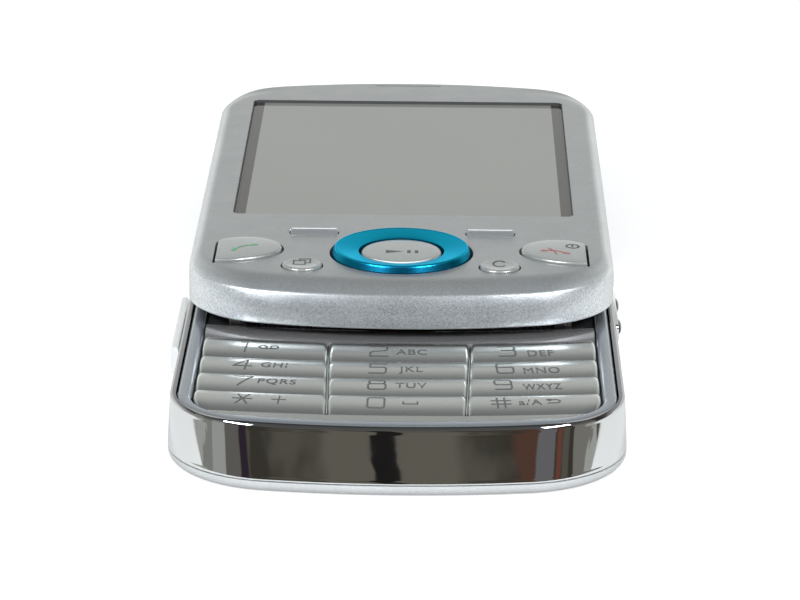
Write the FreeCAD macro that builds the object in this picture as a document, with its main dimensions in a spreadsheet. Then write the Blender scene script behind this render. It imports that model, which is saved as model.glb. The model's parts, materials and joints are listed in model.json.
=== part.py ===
import FreeCAD, Part

import math
import os

import Sketcher

# A slider phone, slid open. Millimetres, +Z out of the display, +X to the right of the keys, -Y towards
# the microphone end. The origin is the centre of the lower half's back face, on which the phone lies.

DOC = FreeCAD.newDocument("slider_phone")
SHEET = DOC.addObject("Spreadsheet::Sheet", "Sizes")


# ---------------------------------------------------------------- sizes and expressions

class Size:
    """A length together with the expression that ties it to the sheet."""

    def __init__(self, value, text):
        self.value = value
        self.text = text

    def __add__(self, other):
        other = as_size(other)
        return Size(self.value + other.value, f"({self.text} + {other.text})")

    def __sub__(self, other):
        other = as_size(other)
        return Size(self.value - other.value, f"({self.text} - {other.text})")

    def __mul__(self, other):
        other = as_size(other)
        return Size(self.value * other.value, f"({self.text} * {other.text})")

    def __truediv__(self, other):
        other = as_size(other)
        return Size(self.value / other.value, f"({self.text} / {other.text})")

    def __neg__(self):
        return Size(-self.value, f"(0 - {self.text})")


def as_size(amount):
    return amount if isinstance(amount, Size) else Size(float(amount), f"{float(amount):.6f}")


def root(amount):
    return Size(math.sqrt(amount.value), f"sqrt({amount.text})")


def size(alias, value):
    """Write one driving dimension into the next row of the sheet."""
    size.row += 1
    SHEET.set(f"A{size.row}", alias)
    SHEET.set(f"B{size.row}", str(value))
    SHEET.setAlias(f"B{size.row}", alias)
    return Size(float(value), f"Sizes.{alias}")


size.row = 0

# how far a cut runs past the solid that it opens
PAST = 1.0

# how close an edge lies to the place where a test looks for it
NEAR = 1e-3

# overall and fits
fit_gap = size("fit_gap", 0.1)
run_gap = size("run_gap", 0.1)
key_gap = size("key_gap", 0.2)
end_radius = size("end_radius", 100.0)

# lower half
base_half_width = size("base_half_width", 26.0)
base_half_length = size("base_half_length", 47.75)
base_corner = size("base_corner", 13.0)
seam_level = size("seam_level", 1.3)
seam_gap = size("seam_gap", 0.08)
cover_skin = size("cover_skin", 0.8)
cover_wall = size("cover_wall", 1.1)
cover_round = size("cover_round", 1.1)
cover_split = size("cover_split", 26.0)
cover_travel_clearance = size("cover_travel_clearance", 0.15)
rim_level = size("rim_level", 7.8)
rim_side_inset = size("rim_side_inset", 0.3)
rim_end_inset = size("rim_end_inset", 1.08)
rim_half_width = base_half_width - rim_side_inset
rim_half_length = base_half_length - rim_end_inset
rim_corner = size("rim_corner", 11.0)
rim_round = size("rim_round", 0.4)
belly_level = size("belly_level", 4.2)
belly_side_swell = size("belly_side_swell", 0.05)
belly_end_inset = size("belly_end_inset", 0.46)
belly_half_width = base_half_width + belly_side_swell
belly_half_length = base_half_length - belly_end_inset
belly_corner = size("belly_corner", 12.2)
band_side_wall = size("band_side_wall", 0.75)
band_end_wall = size("band_end_wall", 0.47)
band_inner_half_width = rim_half_width - band_side_wall
band_inner_half_length = rim_half_length - band_end_wall
band_inner_corner = size("band_inner_corner", 10.0)

# the rounding of the band's rim: shares of its height, and of its inset at that height
RIM_STEPS = ((0.7, 0.3), (1.0, 1.0))

# keypad bezel
bezel_half_width = band_inner_half_width - fit_gap
bezel_half_length = band_inner_half_length - fit_gap
bezel_corner = band_inner_corner - fit_gap
bezel_round = size("bezel_round", 0.25)
bezel_side_width = size("bezel_side_width", 1.75)
bezel_end_width = size("bezel_end_width", 2.2)
well_half_width = bezel_half_width - bezel_side_width
well_half_length = bezel_half_length - bezel_end_width
well_corner = size("well_corner", 6.2)

# main frame and what it carries
frame_top = size("frame_top", 6.6)
board_level = size("board_level", 5.0)
board_thickness = size("board_thickness", 0.8)
board_inset = size("board_inset", 2.6)
battery_length = size("battery_length", 49.0)
battery_thickness = size("battery_thickness", 3.4)
battery_y = size("battery_y", 1.0)
battery_round = size("battery_round", 0.8)
card_width = size("card_width", 26.0)
card_length = size("card_length", 15.5)
card_thickness = size("card_thickness", 2.4)
card_x = size("card_x", 4.0)
card_y = size("card_y", -34.0)
card_wall = size("card_wall", 0.6)
card_floor = size("card_floor", 0.8)
speaker_width = size("speaker_width", 13.0)
speaker_thickness = size("speaker_thickness", 3.2)
speaker_x = size("speaker_x", -13.2)
speaker_y = size("speaker_y", 35.5)
speaker_round = size("speaker_round", 1.2)
speaker_rim = size("speaker_rim", 1.0)
speaker_recess = size("speaker_recess", 0.5)
speaker_slot_length = size("speaker_slot_length", 8.0)
speaker_slot_width = size("speaker_slot_width", 0.9)
speaker_slot_pitch = size("speaker_slot_pitch", 2.0)
camera_width = size("camera_width", 9.0)
camera_lens_radius = size("camera_lens_radius", 2.6)
camera_barrel_wall = size("camera_barrel_wall", 0.7)
camera_lens_recess = size("camera_lens_recess", 0.4)
camera_x = size("camera_x", 0.0)
camera_y = size("camera_y", 35.5)
camera_window_radius = size("camera_window_radius", 4.2)
camera_window_thickness = size("camera_window_thickness", 0.5)
motor_radius = size("motor_radius", 1.75)
motor_length = size("motor_length", 7.0)
motor_x = size("motor_x", -17.0)
motor_y = size("motor_y", -35.0)
motor_shaft_radius = size("motor_shaft_radius", 0.4)
motor_end_wall = size("motor_end_wall", 1.0)
motor_bay_gap = size("motor_bay_gap", 1.0)
weight_radius = size("weight_radius", 1.6)
weight_length = size("weight_length", 2.6)
jack_radius = size("jack_radius", 1.8)
jack_length = size("jack_length", 14.0)
jack_width = size("jack_width", 5.6)
jack_x = size("jack_x", 13.0)
jack_level = size("jack_level", 4.1)
jack_height = size("jack_height", 4.8)
jack_back = size("jack_back", 0.6)
jack_bay_gap = size("jack_bay_gap", 0.4)
connector_depth = size("connector_depth", 5.6)
battery_side_gap = size("battery_side_gap", 2.25)
battery_width = (bezel_half_width - connector_depth - battery_side_gap) * 2
connector_width = size("connector_width", 9.6)
connector_height = size("connector_height", 2.4)
connector_y = size("connector_y", -6.5)
connector_level = size("connector_level", 4.0)
connector_wall = size("connector_wall", 0.4)
antenna_thickness = size("antenna_thickness", 0.25)
antenna_length = size("antenna_length", 5.0)
antenna_width = size("antenna_width", 26.0)
antenna_gap = size("antenna_gap", 0.6)
shield_width = size("shield_width", 30.0)
shield_length = size("shield_length", 22.0)
shield_height = size("shield_height", 0.7)
shield_y = size("shield_y", 18.0)
shield_round = size("shield_round", 0.3)
shield_sheet = size("shield_sheet", 0.2)
screw_radius = size("screw_radius", 0.7)
screw_head_radius = size("screw_head_radius", 1.2)
screw_head_height = size("screw_head_height", 0.4)
screw_length = size("screw_length", 3.0)
screw_tip_gap = size("screw_tip_gap", 0.4)
screw_side_margin = size("screw_side_margin", 3.55)
screw_x = bezel_half_width - screw_side_margin
screw_near_y = size("screw_near_y", -29.0)
screw_far_y = size("screw_far_y", 38.5)
slider_screw_length = size("slider_screw_length", 1.9)
slider_screw_x = size("slider_screw_x", 12.0)
slider_screw_y = size("slider_screw_y", 36.0)

# keypad
keypad_crest = size("keypad_crest", 7.9)
keypad_far_edge = size("keypad_far_edge", -17.9)
key_pitch = size("key_pitch", 5.95)
key_row_gap = size("key_row_gap", 0.14)
key_column_gap = size("key_column_gap", 0.36)
key_column_x = size("key_column_x", 8.2)
key_arc_radius = size("key_arc_radius", 150.0)
key_height = size("key_height", 1.0)
key_far_drop = size("key_far_drop", 0.1)
key_near_drop = size("key_near_drop", 0.62)
key_top_radius = size("key_top_radius", 12.0)
key_bevel = size("key_bevel", 0.14)
key_side_gap = size("key_side_gap", 0.15)
key_sweep = size("key_sweep", 20.0)
nub_radius = size("nub_radius", 0.45)
mat_thickness = size("mat_thickness", 0.6)
mat_side_margin = size("mat_side_margin", 0.75)
mat_half_width = bezel_half_width - board_inset - mat_side_margin
mat_corner = size("mat_corner", 5.5)
dome_sheet_thickness = size("dome_sheet_thickness", 0.15)
strip_length = size("strip_length", 5.6)
strip_near_drop = size("strip_near_drop", 0.35)
strip_top_radius = size("strip_top_radius", 14.0)
trim_drop = size("trim_drop", 0.35)
deck_thickness = size("deck_thickness", 0.6)

# slide mechanism
slider_side_inset = size("slider_side_inset", 0.5)
slider_end_inset = size("slider_end_inset", 0.1)
slider_half_width = base_half_width - slider_side_inset
slider_half_length = base_half_length - slider_end_inset
slide_travel = size("slide_travel", 31.9)
slider_bottom = size("slider_bottom", 8.8)
rail_plate_thickness = size("rail_plate_thickness", 0.4)
rail_side_margin = size("rail_side_margin", 5.2)
rail_plate_half_width = slider_half_width - rail_side_margin
rail_plate_low_y = size("rail_plate_low_y", -10.0)
rail_plate_high_y = size("rail_plate_high_y", 40.8)
rail_wall = size("rail_wall", 0.8)
rail_lip = size("rail_lip", 1.2)
rail_lip_thickness = size("rail_lip_thickness", 0.4)
runner_thickness = size("runner_thickness", 0.6)
runner_end_margin = size("runner_end_margin", 6.15)
runner_half_length = slider_half_length - runner_end_margin
rail_groove_gap = size("rail_groove_gap", 0.3)
flex_width = size("flex_width", 8.0)
flex_thickness = size("flex_thickness", 0.12)
flex_y = size("flex_y", -6.0)
flex_loop_y = size("flex_loop_y", 12.9)
flex_slider_y = size("flex_slider_y", -22.0)
flex_slot = size("flex_slot", 1.2)
flex_plate_gap = size("flex_plate_gap", 0.3)
spring_wire_radius = size("spring_wire_radius", 0.2)
spring_coil_radius = size("spring_coil_radius", 3.2)
spring_arm_length = size("spring_arm_length", 9.6)
spring_x = size("spring_x", 9.5)
spring_y = size("spring_y", 6.0)

# slider
slider_corner = size("slider_corner", 11.5)
slider_end_radius = size("slider_end_radius", 75.0)
face_level = size("face_level", 14.2)
face_round = size("face_round", 1.7)
lower_round = size("lower_round", 0.45)
shell_wall = size("shell_wall", 1.1)
face_wall = size("face_wall", 1.2)
frame_roof = size("frame_roof", 10.9)
window_side_margin = size("window_side_margin", 4.35)
window_half_width = slider_half_width - window_side_margin
window_half_length = size("window_half_length", 27.55)
window_y = size("window_y", 9.65)
window_corner = size("window_corner", 0.8)
window_recess = size("window_recess", 0.42)
window_thickness = size("window_thickness", 0.85)
panel_lap = size("panel_lap", 1.45)
panel_half_width = window_half_width + panel_lap
panel_half_length = window_half_length + panel_lap
panel_gap = size("panel_gap", 0.15)
key_board_thickness = size("key_board_thickness", 0.6)
nav_sheet_thickness = size("nav_sheet_thickness", 0.2)
flange_lap = size("flange_lap", 0.6)
flange_thickness = size("flange_thickness", 0.4)
flange_gap = size("flange_gap", 0.15)

# keys round the navigation ring, places counted from the slider's centre
ring_y = size("ring_y", -33.9)
ring_radius = size("ring_radius", 8.35)
ring_crest_radius = size("ring_crest_radius", 7.7)
ring_crest_level = size("ring_crest_level", 15.05)
ring_hole_radius = size("ring_hole_radius", 5.15)
ring_inner_level = size("ring_inner_level", 14.3)
ring_gap = size("ring_gap", 0.3)
ring_tilt_gap = size("ring_tilt_gap", 0.3)
ring_flange_thickness = size("ring_flange_thickness", 0.35)
ring_flank_radius = size("ring_flank_radius", 0.85)
ring_dish_radius = size("ring_dish_radius", 9.0)
ring_crest_round = size("ring_crest_round", 0.15)
centre_key_radius = size("centre_key_radius", 4.85)
centre_key_level = size("centre_key_level", 14.5)
centre_key_dome = size("centre_key_dome", 0.25)
side_key_level = size("side_key_level", 14.6)
side_key_round = size("side_key_round", 0.2)
call_side_margin = size("call_side_margin", 3.3)
call_outer_x = slider_half_width - call_side_margin
call_high_y = size("call_high_y", -30.4)
call_low_y = size("call_low_y", -38.2)
call_shoulder_x = size("call_shoulder_x", 15.4)
call_tip_x = size("call_tip_x", 15.0)
call_tip_y = size("call_tip_y", -35.0)
call_top_radius = size("call_top_radius", 4.6)
call_tip_radius = size("call_tip_radius", 3.9)
call_bottom_radius = size("call_bottom_radius", 7.8)
soft_key_x = size("soft_key_x", 10.75)
soft_key_y = size("soft_key_y", -26.3)
soft_key_width = size("soft_key_width", 5.7)
soft_key_depth = size("soft_key_depth", 1.7)
soft_key_level = size("soft_key_level", 14.75)
soft_key_crest = size("soft_key_crest", 0.8)
soft_key_toe = size("soft_key_toe", 14.25)
soft_key_round = size("soft_key_round", 0.1)
round_key_x = size("round_key_x", 11.75)
round_key_y = size("round_key_y", -39.5)
round_key_radius = size("round_key_radius", 2.35)
key_board_margin = size("key_board_margin", 3.5)
key_board_half_width = slider_half_width - key_board_margin
key_board_half_length = size("key_board_half_length", 12.4)
key_board_gap = size("key_board_gap", 0.35)
key_board_y = window_y - panel_half_length - key_board_gap - key_board_half_length
key_board_corner = size("key_board_corner", 6.0)
nav_sheet_inset = size("nav_sheet_inset", 0.5)
earpiece_y = size("earpiece_y", 44.2)
earpiece_width = size("earpiece_width", 10.0)
earpiece_length = size("earpiece_length", 3.4)
earpiece_height = size("earpiece_height", 1.9)
earpiece_round = size("earpiece_round", 0.8)
earpiece_slot_width = size("earpiece_slot_width", 9.0)
earpiece_slot_height = size("earpiece_slot_height", 0.35)
earpiece_slot_shift = size("earpiece_slot_shift", 1.2)

# keys and cover on the sides of the lower half
rocker_low_y = size("rocker_low_y", -2.0)
rocker_high_y = size("rocker_high_y", 12.6)
side_key_height = size("side_key_height", 2.2)
side_key_z = size("side_key_z", 4.2)
side_key_proud = size("side_key_proud", 0.3)
side_key_reach = belly_half_width + side_key_proud
side_key_back_gap = size("side_key_back_gap", 0.35)
side_key_back = bezel_half_width + side_key_back_gap
side_key_bump = size("side_key_bump", 0.5)
side_key_bump_length = size("side_key_bump_length", 5.2)
side_key_bump_inset = size("side_key_bump_inset", 0.3)
side_key_tip_round = size("side_key_tip_round", 0.3)
shutter_low_y = size("shutter_low_y", 19.8)
shutter_high_y = size("shutter_high_y", 24.4)
port_cover_low_y = size("port_cover_low_y", -13.6)
port_cover_high_y = size("port_cover_high_y", 6.4)
port_cover_thickness = size("port_cover_thickness", 0.9)
port_cover_height = size("port_cover_height", 3.4)
port_cover_round = size("port_cover_round", 0.25)

# levels that follow from the sizes above
board_top = board_level + board_thickness
mat_level = board_top + dome_sheet_thickness
mat_top = mat_level + mat_thickness
deck_top = frame_top + deck_thickness
rail_plate_top = deck_top + rail_plate_thickness
runner_bottom = slider_bottom
runner_top = runner_bottom + runner_thickness
rail_flange_top = runner_bottom - run_gap
rail_lip_bottom = runner_top + run_gap
rail_top = rail_lip_bottom + rail_lip_thickness
groove_top = rail_top + rail_groove_gap
face_underside = face_level - face_wall
flange_top = face_underside - flange_gap
flange_bottom = flange_top - flange_thickness
bay_bottom = seam_level + seam_gap
key_bottom = keypad_crest - key_height
key_arc_y = keypad_far_edge + key_arc_radius
strip_far_radius = key_arc_radius - strip_length


# ---------------------------------------------------------------- building blocks

def new_body(label, x=0, y=0, z=0):
    """An empty body whose place is bound to the sheet."""
    body = DOC.addObject("PartDesign::Body", label)
    body.Label = label
    for axis, amount in zip("xyz", (x, y, z)):
        body.setExpression(f"Placement.Base.{axis}", as_size(amount).text)
    return body


def new_sketch(body, role="XY_Plane", level=0):
    """A sketch on one of the body's own planes, raised by level along the plane's normal."""
    sketch = body.newObject("Sketcher::SketchObject", f"{body.Label}_sketch")
    plane = next(feature for feature in body.Origin.OriginFeatures if feature.Role == role)
    sketch.AttachmentSupport = (plane, "")
    sketch.MapMode = "FlatFace"
    level = as_size(level)
    sketch.AttachmentOffset = FreeCAD.Placement(FreeCAD.Vector(0, 0, level.value), FreeCAD.Rotation())
    sketch.setExpression("AttachmentOffset.Base.z", level.text)
    return sketch


def bind_constraint(sketch, kind, places, amount):
    """Add one dimension to the sketch and tie it to the sheet."""
    index = sketch.addConstraint(Sketcher.Constraint(kind, *places, amount.value))
    sketch.setExpression(f"Constraints[{index}]", amount.text)


def pin_point(sketch, edge, end, x, y):
    """Hold one end of an edge at x, y from the sketch's origin."""
    for kind, amount in (("DistanceX", x), ("DistanceY", y)):
        if amount.value < 0:
            bind_constraint(sketch, kind, (edge, end, -1, 1), -amount)
        else:
            bind_constraint(sketch, kind, (-1, 1, edge, end), amount)


def arc_edge(start, finish, radius):
    """An arc from start to finish, bulging to the right of the way if radius is positive, else to the left.

    Returns the geometry and which of its ends are the start and the finish."""
    chord = finish - start
    height = math.sqrt(max(radius * radius - chord.Length ** 2 / 4, 0.0))
    side = FreeCAD.Vector(-chord.y, chord.x, 0).normalize()
    if radius < 0:
        side = -side
    centre = (start + finish) * 0.5 + side * height
    angles = [math.atan2(place.y - centre.y, place.x - centre.x) for place in (start, finish)]
    circle = Part.Circle(centre, FreeCAD.Vector(0, 0, 1), abs(radius))
    if radius > 0:
        return Part.ArcOfCircle(circle, angles[0], angles[1]), 1, 2
    return Part.ArcOfCircle(circle, angles[1], angles[0]), 2, 1


def draw_outline(sketch, corners):
    """Draw a closed outline, each corner (x, y) or (x, y, radius of the arc that leads to the next)."""
    corners = [tuple(as_size(amount) for amount in corner) for corner in corners]
    places = [FreeCAD.Vector(corner[0].value, corner[1].value, 0) for corner in corners]
    edges = []
    for index, corner in enumerate(corners):
        start = places[index]
        finish = places[(index + 1) % len(places)]
        if len(corner) == 3:
            geometry, start_end, finish_end = arc_edge(start, finish, corner[2].value)
            edge = sketch.addGeometry(geometry)
            radius = corner[2] if corner[2].value > 0 else -corner[2]
            bind_constraint(sketch, "Radius", (edge,), radius)
        else:
            start_end, finish_end = 1, 2
            edge = sketch.addGeometry(Part.LineSegment(start, finish))
        pin_point(sketch, edge, start_end, corner[0], corner[1])
        edges.append((edge, start_end, finish_end))
    for (edge, _, finish_end), (following, start_end, _) in zip(edges, edges[1:] + edges[:1]):
        sketch.addConstraint(Sketcher.Constraint("Coincident", edge, finish_end, following, start_end))


def draw_circle(sketch, radius, x=0, y=0):
    x, y, radius = as_size(x), as_size(y), as_size(radius)
    centre = FreeCAD.Vector(x.value, y.value, 0)
    edge = sketch.addGeometry(Part.Circle(centre, FreeCAD.Vector(0, 0, 1), radius.value))
    bind_constraint(sketch, "Radius", (edge,), radius)
    pin_point(sketch, edge, 3, x, y)


def rectangle(low_x, high_x, low_y, high_y):
    return [(low_x, low_y), (high_x, low_y), (high_x, high_y), (low_x, high_y)]


def block(width, length, x=0, y=0):
    """A rectangle by its width, length and centre."""
    x, y, half_width, half_length = as_size(x), as_size(y), as_size(width) / 2, as_size(length) / 2
    return rectangle(x - half_width, x + half_width, y - half_length, y + half_length)


def soft_block(half_width, half_length, corner, x=0, y=0):
    """A rectangle with rounded corners by its half sizes and centre."""
    x, y = as_size(x), as_size(y)
    left, right, low, high = x - half_width, x + half_width, y - half_length, y + half_length
    return [(left + corner, low), (right - corner, low, corner), (right, low + corner),
            (right, high - corner, corner), (right - corner, high), (left + corner, high, corner),
            (left, high - corner), (left, low + corner, corner)]


def phone_outline(half_width, half_length, corner, bow, y=0):
    """Straight sides, rounded corners and gently bowed ends, every arc tangent to the next."""
    y = as_size(y)
    reach = root((bow - corner) * (bow - corner) - (half_width - corner) * (half_width - corner))
    share = bow / (bow - corner)
    bow_x = (half_width - corner) * share
    bow_y = half_length - bow + reach * share
    side_y = half_length - bow + reach
    return [(-bow_x, y - bow_y, bow), (bow_x, y - bow_y, corner),
            (half_width, y - side_y), (half_width, y + side_y, corner),
            (bow_x, y + bow_y, bow), (-bow_x, y + bow_y, corner),
            (-half_width, y + side_y), (-half_width, y - side_y, corner)]


def mirrored(corners):
    """The same outline on the other side of the middle plane, still running anticlockwise."""
    count = len(corners)
    other_side = []
    for index in range(count - 1, -1, -1):
        x, y = corners[index][:2]
        other_side.append((-x, y) + tuple(corners[index - 1][2:]))
    return other_side


def pad(body, outlines, low, high, role="XY_Plane"):
    """Add a solid between two levels of the plane from one or more outlines."""
    sketch = new_sketch(body, role, low)
    for outline in outlines:
        draw_outline(sketch, outline)
    return extrude(body, sketch, as_size(high) - low)


def extrude(body, sketch, length):
    feature = body.newObject("PartDesign::Pad", f"{body.Label}_pad")
    feature.Profile = sketch
    feature.setExpression("Length", length.text)
    return feature


def pad_circle(body, radius, low, high, x=0, y=0, role="XY_Plane"):
    sketch = new_sketch(body, role, low)
    draw_circle(sketch, radius, x, y)
    return extrude(body, sketch, as_size(high) - low)


def cut(body, outlines, low, high, role="XY_Plane"):
    """Remove what lies inside the outlines between two levels of the plane."""
    sketch = new_sketch(body, role, high)
    for outline in outlines:
        draw_outline(sketch, outline)
    return sink(body, sketch, as_size(high) - low)


def cut_circles(body, radius, centres, low, high, role="XY_Plane"):
    sketch = new_sketch(body, role, high)
    for x, y in centres:
        draw_circle(sketch, radius, x, y)
    return sink(body, sketch, as_size(high) - low)


def sink(body, sketch, depth):
    feature = body.newObject("PartDesign::Pocket", f"{body.Label}_pocket")
    feature.Profile = sketch
    feature.setExpression("Length", depth.text)
    return feature


def revolve(body, corners, angle=None, role="XZ_Plane"):
    """Turn an outline about the body's own Z axis: all round, or half the angle to each side of the plane."""
    sketch = new_sketch(body, role)
    draw_outline(sketch, corners)
    feature = body.newObject("PartDesign::Revolution", f"{body.Label}_turn")
    feature.Profile = sketch
    feature.ReferenceAxis = (sketch, ["V_Axis"])
    if angle is not None:
        feature.Midplane = True
        feature.setExpression("Angle", angle.text)
    return feature


def round_edges(body, radius, wanted):
    """Fillet the edges of the body's last feature that pass the test."""
    DOC.recompute()
    base = body.Tip
    names = [f"Edge{index + 1}" for index, edge in enumerate(base.Shape.Edges) if wanted(edge)]
    feature = body.newObject("PartDesign::Fillet", f"{body.Label}_round")
    feature.Base = (base, names)
    feature.setExpression("Radius", as_size(radius).text)
    return feature


def at_level(level):
    """A test for edges that lie flat at a level."""
    def lies_flat(edge):
        box = edge.BoundBox
        return abs(box.ZMin - level.value) < NEAR and abs(box.ZMax - level.value) < NEAR
    return lies_flat


def is_upright(edge):
    box = edge.BoundBox
    return box.XLength < NEAR and box.YLength < NEAR


# ---------------------------------------------------------------- lower half: shell

def back_shell(label, low_y, high_y):
    """A rounded tray, kept only outside the strip from low_y to high_y."""
    body = new_body(label)
    outer = phone_outline(base_half_width, base_half_length, base_corner, end_radius)
    pad(body, [outer], as_size(0), seam_level)
    round_edges(body, cover_round, at_level(as_size(0)))
    inner = phone_outline(base_half_width - cover_wall, base_half_length - cover_wall,
                          base_corner - cover_wall, end_radius - cover_wall)
    cut(body, [inner], cover_skin, seam_level)
    reach = base_half_width + cover_wall
    cut(body, [rectangle(-reach, reach, low_y, high_y)], as_size(0), seam_level)
    return body


def make_rear_cover():
    back_shell("rear_cover", cover_split, base_half_length + cover_wall)


def make_rear_top_panel():
    body = back_shell("rear_top_panel", -base_half_length - cover_wall, cover_split + cover_travel_clearance)
    cut_circles(body, camera_window_radius + fit_gap, [(camera_x, camera_y)], as_size(0), cover_skin)
    slots = [block(speaker_slot_length, speaker_slot_width, speaker_x, speaker_y + speaker_slot_pitch * step)
             for step in (-2, -1, 0, 1, 2)]
    cut(body, slots, as_size(0), cover_skin)


def make_chrome_band():
    """A ring whose side is drawn through three outlines, so that it bellies out and leans in at the rim."""
    body = new_body("chrome_band")
    shoulder = (rim_level - rim_round, rim_half_width, rim_half_length, rim_corner)
    side = [(bay_bottom, base_half_width, base_half_length, base_corner),
            (belly_level, belly_half_width, belly_half_length, belly_corner), shoulder]
    rim = [shoulder]
    for rise, share in RIM_STEPS:
        inset = rim_round * share
        rim.append((rim_level - rim_round * (1 - rise), rim_half_width - inset, rim_half_length - inset,
                    rim_corner - inset))
    for sections in (side, rim):
        sketches = []
        for level, half_width, half_length, corner in sections:
            sketch = new_sketch(body, level=level)
            draw_outline(sketch, phone_outline(half_width, half_length, corner, end_radius))
            sketches.append(sketch)
        loft = body.newObject("PartDesign::AdditiveLoft", "chrome_band_loft")
        loft.Profile = sketches[0]
        loft.Sections = sketches[1:]
    inner = phone_outline(band_inner_half_width, band_inner_half_length, band_inner_corner, end_radius)
    cut(body, [inner], bay_bottom, rim_level)
    half_height = side_key_height / 2 + key_gap
    low, high = side_key_z - half_height, side_key_z + half_height
    for low_y, high_y in ((rocker_low_y, rocker_high_y), (shutter_low_y, shutter_high_y)):
        hole = rectangle(low_y - key_gap, high_y + key_gap, low, high)
        cut(body, [hole], band_inner_half_width - fit_gap, belly_half_width + PAST, "YZ_Plane")
    half_width, half_height = connector_width / 2, connector_height / 2
    mouth = rectangle(connector_y - half_width, connector_y + half_width,
                      connector_level - half_height, connector_level + half_height)
    cut(body, [mouth], -belly_half_width - PAST, -band_inner_half_width + fit_gap, "YZ_Plane")
    cut_circles(body, jack_radius + fit_gap * 2, [(jack_x, jack_level)],
                -belly_half_length - PAST, -jack_mouth(), "XZ_Plane")


def make_keypad_bezel():
    body = new_body("keypad_bezel")
    outer = phone_outline(bezel_half_width, bezel_half_length, bezel_corner, end_radius)
    pad(body, [outer], frame_top, rim_level)
    well = phone_outline(well_half_width, well_half_length, well_corner, end_radius)
    cut(body, [well], frame_top, rim_level)
    round_edges(body, bezel_round, at_level(rim_level))


def make_main_frame():
    """The plastic frame inside the band, with a bay for each thing that it carries."""
    body = new_body("main_frame")
    outer = phone_outline(bezel_half_width, bezel_half_length, bezel_corner, end_radius)
    pad(body, [outer], bay_bottom, frame_top)
    cut(body, [board_outline(as_size(0))], board_level, frame_top)
    bay = fit_gap * 2
    through = [
        block(battery_width + bay, battery_length + bay, 0, battery_y),
        block(card_width + bay, card_length + bay, card_x, card_y),
        block(speaker_width + bay, speaker_width + bay, speaker_x, speaker_y),
        block(camera_width + bay, camera_width + bay, camera_x, camera_y),
        block(motor_length + weight_length + motor_bay_gap, motor_radius * 2 + bay * 2,
              motor_x - weight_length / 2, motor_y),
    ]
    cut(body, through, bay_bottom, board_level)
    cut(body, [jack_bay()], bay_bottom, frame_top)
    connector_bay = rectangle(-bezel_half_width - PAST, -bezel_half_width + connector_depth + bay,
                              connector_y - connector_width / 2 - fit_gap,
                              connector_y + connector_width / 2 + fit_gap)
    cut(body, [connector_bay], connector_level - connector_height / 2 - fit_gap, board_level)
    cut_circles(body, screw_radius + fit_gap / 2, screw_places(), bay_bottom,
                bay_bottom + screw_length + screw_tip_gap)
    cut_circles(body, screw_head_radius + fit_gap, screw_places(), bay_bottom, bay_bottom + screw_head_height)


def screw_places():
    return [(x, y) for x in (-screw_x, screw_x) for y in (screw_near_y, screw_far_y)]


def jack_mouth():
    """Where the headphone jack ends: clear of the band's bowed end at the jack's outer side."""
    side_x = jack_x + jack_width / 2
    bow = end_radius - root(end_radius * end_radius - side_x * side_x)
    return bezel_half_length - bow - fit_gap


def jack_bay():
    """The opening for the headphone jack, from the jack's back to past the frame's far end."""
    half_width = jack_width / 2 + fit_gap
    return rectangle(jack_x - half_width, jack_x + half_width,
                     jack_mouth() - jack_length - jack_back - jack_bay_gap, bezel_half_length + PAST)


def board_outline(gap):
    """The outline of the board's recess, drawn in by a gap all round."""
    inset = board_inset + gap
    return phone_outline(bezel_half_width - inset, bezel_half_length - inset, bezel_corner - inset,
                         end_radius - inset)


# ---------------------------------------------------------------- lower half: what the frame carries

def make_main_board():
    body = new_body("main_board")
    pad(body, [board_outline(fit_gap)], board_level, board_top)
    cut(body, [jack_bay()], board_level, board_top)


def make_shield_can():
    body = new_body("shield_can")
    pad(body, [block(shield_width, shield_length, 0, shield_y)], board_top, board_top + shield_height)
    round_edges(body, shield_round, is_upright)
    walls = shield_sheet * 2
    cut(body, [block(shield_width - walls, shield_length - walls, 0, shield_y)],
        board_top, board_top + shield_height - shield_sheet)


def make_battery():
    body = new_body("battery")
    high = board_level - fit_gap
    pad(body, [block(battery_width, battery_length, 0, battery_y)], high - battery_thickness, high)
    round_edges(body, battery_round, is_upright)


def make_card_holder():
    """A tray for the cards, open on its underside."""
    body = new_body("card_holder")
    low = board_level - card_thickness
    pad(body, [block(card_width, card_length, card_x, card_y)], low, board_level)
    cut(body, [block(card_width - card_wall * 2, card_length - card_wall * 2, card_x, card_y)],
        low, board_level - card_floor)


def make_loudspeaker():
    body = new_body("loudspeaker")
    low = bay_bottom + fit_gap
    pad(body, [block(speaker_width, speaker_width, speaker_x, speaker_y)], low, low + speaker_thickness)
    round_edges(body, speaker_round, is_upright)
    cut_circles(body, speaker_width / 2 - speaker_rim, [(speaker_x, speaker_y)], low, low + speaker_recess)


def make_camera_module():
    """A square block with a lens barrel that looks out through the back."""
    body = new_body("camera_module")
    high = board_level - fit_gap
    low = bay_bottom + fit_gap
    pad(body, [block(camera_width, camera_width, camera_x, camera_y)], low, high)
    tip = cover_skin + fit_gap
    pad_circle(body, camera_lens_radius + camera_barrel_wall, tip, low, camera_x, camera_y)
    cut_circles(body, camera_lens_radius, [(camera_x, camera_y)], tip, tip + camera_lens_recess)


def make_camera_window():
    body = new_body("camera_window")
    low = cover_skin - camera_window_thickness
    pad_circle(body, camera_window_radius, low, cover_skin, camera_x, camera_y)


def make_vibrator_motor():
    body = new_body("vibrator_motor")
    half = motor_length / 2
    pad_circle(body, motor_radius, motor_x - half, motor_x + half, motor_y, weight_level(), "YZ_Plane")
    cut_circles(body, motor_shaft_radius + fit_gap / 2, [(motor_y, weight_level())],
                motor_x - half, motor_x + half - motor_end_wall, "YZ_Plane")


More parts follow.
